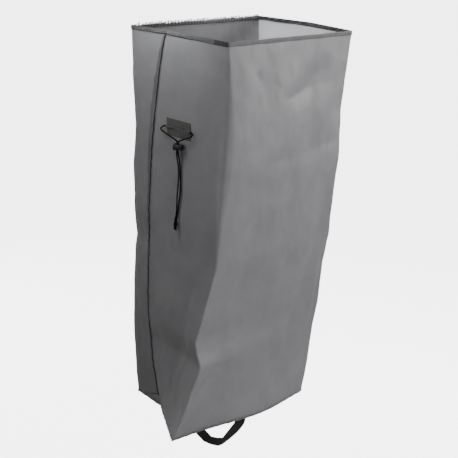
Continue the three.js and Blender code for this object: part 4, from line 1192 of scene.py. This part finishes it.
def make_base():
    """The flat base cloth, which sags a little between its hems, and the sewn edge round it."""
    outline = cloth.points[-1, :, :2]
    centre = outline.mean(0)
    shares = np.concatenate([[0.006], np.linspace(0.06, 0.9, 18), [0.96, 1.0]])
    rings = []
    for share in shares:
        spots = centre + (outline - centre) * share
        wave = 0.0006 * np.sin(spots[:, 0] * 38 + 3 * np.sin(spots[:, 1] * 30)) * np.sin(spots[:, 1] * 44 + 1)
        strap_free = np.clip((np.abs(spots[:, 1]) - 0.016) / 0.03, 0, 1)
        sag = BASE_SAG * (1 - share**2) * strap_free
        z = BASE_LEVEL - sag + wave * strap_free * min(1, (1 - share) * 12)
        rings.append(np.column_stack([spots, z]))
    under = np.array(rings)
    above = under.copy()
    above[:, :, 2] += 0.0008
    sections = np.concatenate([under, above[::-1]], 0)
    along = np.concatenate([shares, shares[::-1]])
    loft(
        "base_cloth", sections, False, along * 0.3, cloth.u, BASE_CLOTH, "base_cloth", replaces=["base_panel"]
    )
    # hem: the seam that joins the walls and the base stands out as a thin roll
    angle = 2 * math.pi * np.arange(10) / 10
    out = unit(np.roll(outline, -1, 0) - np.roll(outline, 1, 0))
    out = np.stack([out[:, 1], -out[:, 0]], 1)
    sections = []
    for k, (point, way) in enumerate(zip(outline, out)):
        size = 1 + 0.12 * math.sin(cloth.u[k] * 250) + 0.08 * math.sin(cloth.u[k] * 97)
        spots = [point + way * (0.0004 + 0.0013 * size * math.cos(a)) for a in angle]
        heights = [HEM_LEVEL + 0.0015 * size * math.sin(a) for a in angle]
        sections.append(np.column_stack([spots, heights]))
    around = np.linspace(0, 0.009, 11)
    loft("base_hem", np.array(sections), True, cloth.u, around, SEAM_CLOTH, "seam_cloth")
    walks = np.arange(0, cloth.walk[-1, -1] - 0.002, 0.003)
    row = [cloth.place(HEM_ROW, "left_back", at, 0.0002) for at in walks]
    line, outs = (np.array([pair[k] for pair in row]) for k in (0, 1))
    sew("hem_stitching", [(line, outs)])


make_base()

STRAP_WIDTH = 0.025
STRAP_SPAN = 0.29
STRAP_DROP = 0.148
STRAP_TOP = -0.9013
STRAP_STEP = 0.0011
STRAP_EASING = 0.0014
STRAP_RIBS = 13
# height of the stitches under the sewn ends, half their box's depth, and its two ends along X
SEWN_LEVEL = -0.9023
SEWN_HALF = 0.0095
SEWN_ENDS = ((-0.143, -0.112), (0.113, 0.143))
# along, drop, roll in degrees
STRAP_SECTIONS = np.array([
    [-0.5, 0, 0], [-0.37, 0, 0], [-0.355, 0.04, -4], [-0.31, 0.33, -28], [-0.227, 0.62, -46],
    [-0.13, 0.815, -50], [-0.045, 0.91, -64], [0.04, 0.985, -76], [0.08, 0.985, -80], [0.158, 0.927, -97],
    [0.25, 0.845, -116], [0.303, 0.769, -122], [0.343, 0.45, -148], [0.36, 0.04, -176], [0.375, 0, -180],
    [0.5, 0, -180],
])


def make_strap():
    """Ribbed webbing that hangs as a loop, with both ends sewn flat under the base."""
    rough = np.stack([STRAP_SECTIONS[:, 0] * STRAP_SPAN, STRAP_TOP - STRAP_SECTIONS[:, 1] * STRAP_DROP], 1)
    along_rough = lengths_along(rough)
    along = np.arange(0, along_rough[-1], STRAP_STEP)
    reach = np.arange(-9, 10)
    kernel = np.exp(-0.5 * (reach * STRAP_STEP / STRAP_EASING) ** 2)
    kernel /= kernel.sum()

    def eased(values):
        fine = np.interp(along, along_rough, values)
        return np.convolve(np.pad(fine, 9, mode="reflect", reflect_type="odd"), kernel, mode="valid")

    line = np.stack([eased(rough[:, 0]), np.zeros(len(along)), eased(rough[:, 1])], 1)
    roll = np.radians(eased(STRAP_SECTIONS[:, 2]))
    tangent = unit(np.gradient(line, axis=0))
    level = np.array([0, 1.0, 0])
    across = level * np.cos(roll)[:, None] + np.cross(tangent, level) * np.sin(roll)[:, None]
    face = unit(np.cross(tangent, across))
    shares = np.linspace(-0.5, 0.5, 45)
    edge = np.minimum(1, (0.5 - np.abs(shares)) * STRAP_WIDTH / 0.001 + 0.35)
    rib = 1 - 0.16 * (1 + np.cos(2 * math.pi * shares * STRAP_RIBS))
    half = 0.00085 * edge * rib
    top = list(zip(shares, half))
    profile = top + [(x, -y) for x, y in reversed(top)]
    sections = np.zeros((len(line), len(profile), 3))
    for k, (x, y) in enumerate(profile):
        shift = math.pi if int((x + 0.5) * STRAP_RIBS) % 2 else 0
        weave_wave = 1 + 0.06 * np.sin(2 * math.pi * along / 0.0044 + shift)
        sections[:, k] = line + across * (x * STRAP_WIDTH) + face * (y * weave_wave)[:, None]
    around = np.array([x * STRAP_WIDTH for x, _ in profile] + [profile[0][0] * STRAP_WIDTH])
    loft("handle_strap", sections, False, along, around, WEBBING, "webbing", replaces=["base_strap"])
    rows = []
    for low, high in SEWN_ENDS:
        near, far = (low, -SEWN_HALF), (high, SEWN_HALF)
        box = [near, (high, -SEWN_HALF), far, (low, SEWN_HALF), near, far]
        for route in (box, [(low, SEWN_HALF), (high, -SEWN_HALF)]):
            points = np.array([(x, y, SEWN_LEVEL) for x, y in route])
            fine = np.array([
                start * (1 - t) + end * t
                for start, end in zip(points[:-1], points[1:])
                for t in np.linspace(0, 1, 12, endpoint=False)
            ])
            rows.append((fine, np.tile((0, 0, -1.0), (len(fine), 1))))
    sew("strap_stitching", rows)


make_strap()


# Floor, light and surroundings

# name, place, what it is aimed at, width, power, spread in degrees
LIGHTS = [
    ("front_low", (-0.7, -2.4, -0.9), (0, 0, -0.45), 1.1, 30, 180),
    ("front_top", (-0.2, -0.8, 0.35), (0, -0.1, -0.25), 0.4, 0.8, 180),
    ("front_under", (0.1, -1.1, -1.3), (0.05, -0.1, -0.8), 0.5, 1.4, 180),
    ("right_front", (1.6, -1.4, 0.1), (0.1, 0, -0.4), 1.0, 37, 180),
    ("right", (2.0, -0.3, 0.6), (0.1, 0, -0.4), 1.2, 19, 180),
    ("left_top", (-0.6, 0.25, 0.4), (-0.2, 0.1, -0.2), 0.45, 3.8, 180),
    ("left_far", (-1.0, 0.5, 0.7), (-0.2, 0, -0.2), 0.7, 3.5, 180),
    ("left_low", (-1.8, 0.3, -1.1), (-0.2, 0, -0.6), 0.7, 7, 180),
    ("mouth_side", (-0.5, 0.04, 0.42), (0.22, 0.04, -0.06), 0.25, 1.6, 50),
    ("mouth_top", (-0.25, 0.05, 0.6), (0.22, 0.05, -0.05), 0.25, 0.9, 50),
    ("back", (0.5, 2.4, 0.1), (0, 0, -0.4), 1.4, 45, 180),
    ("underneath", (0.4, 0.3, -1.3), (0, 0, -0.9), 0.6, 1.5, 180),
]
FLOOR_HEIGHT = -1.35
FLOOR_RADIUS = 9.0
COVE_RADIUS = 4.0
COVE_TOP = 9.0
COVE_SIDES = 96
COVE_STEPS = 16
FLOOR_GLOW = 5.0
AMBIENT = 0.01


def make_floor():
    """A pale round floor that curves up into a wall. It glows evenly and casts no light on the sack."""
    profile = [(0.001, FLOOR_HEIGHT), (FLOOR_RADIUS, FLOOR_HEIGHT)]
    for k in range(1, COVE_STEPS + 1):
        bend = math.pi / 2 * k / COVE_STEPS
        radius = FLOOR_RADIUS + COVE_RADIUS * math.sin(bend)
        profile.append((radius, FLOOR_HEIGHT + COVE_RADIUS * (1 - math.cos(bend))))
    profile.append((FLOOR_RADIUS + COVE_RADIUS, COVE_TOP))
    points, faces = [], []
    for radius, height in profile:
        for side in range(COVE_SIDES):
            angle = 2 * math.pi * side / COVE_SIDES
            points.append((radius * math.cos(angle), radius * math.sin(angle), height))
    for ring in range(len(profile) - 1):
        for side in range(COVE_SIDES):
            beside = (side + 1) % COVE_SIDES
            low, high = ring * COVE_SIDES, (ring + 1) * COVE_SIDES
            faces.append((low + side, high + side, high + beside, low + beside))
    mesh = bpy.data.meshes.new("floor")
    mesh.from_pydata(points, [], faces)
    mesh.polygons.foreach_set("use_smooth", [True] * len(mesh.polygons))
    nodes = Nodes("floor")
    pale = nodes.colours(nodes.noise(nodes.place(), 3, detail=2), (0.94, 0.94, 0.94), (0.95, 0.95, 0.95))
    nodes.link(pale, nodes.shader.inputs["Emission Color"])
    nodes.finish(pale, Roughness=0.9, Specular_IOR_Level=0.1, Emission_Strength=FLOOR_GLOW)
    mesh.materials.append(nodes.material)
    floor = bpy.data.objects.new("floor", mesh)
    floor.visible_diffuse = False
    floor.visible_glossy = False
    floor.visible_shadow = False
    scene.collection.objects.link(floor)


def make_light(name, place, target, width, power, spread):
    data = bpy.data.lights.new(name, "AREA")
    data.shape = "DISK"
    data.size = width
    data.energy = power
    data.spread = math.radians(spread)
    light = bpy.data.objects.new(name, data)
    scene.collection.objects.link(light)
    way = Vector(target) - Vector(place)
    light.matrix_world = Matrix.Translation(place) @ way.to_track_quat("-Z", "Y").to_matrix().to_4x4()
    light.visible_camera = False


def make_surroundings():
    world = bpy.data.worlds.new("studio")
    world.use_nodes = True
    background = world.node_tree.nodes["Background"]
    background.inputs["Color"].default_value = (1, 1, 1, 1)
    background.inputs["Strength"].default_value = AMBIENT
    scene.world = world


make_floor()
for row in LIGHTS:
    make_light(*row)
make_surroundings()
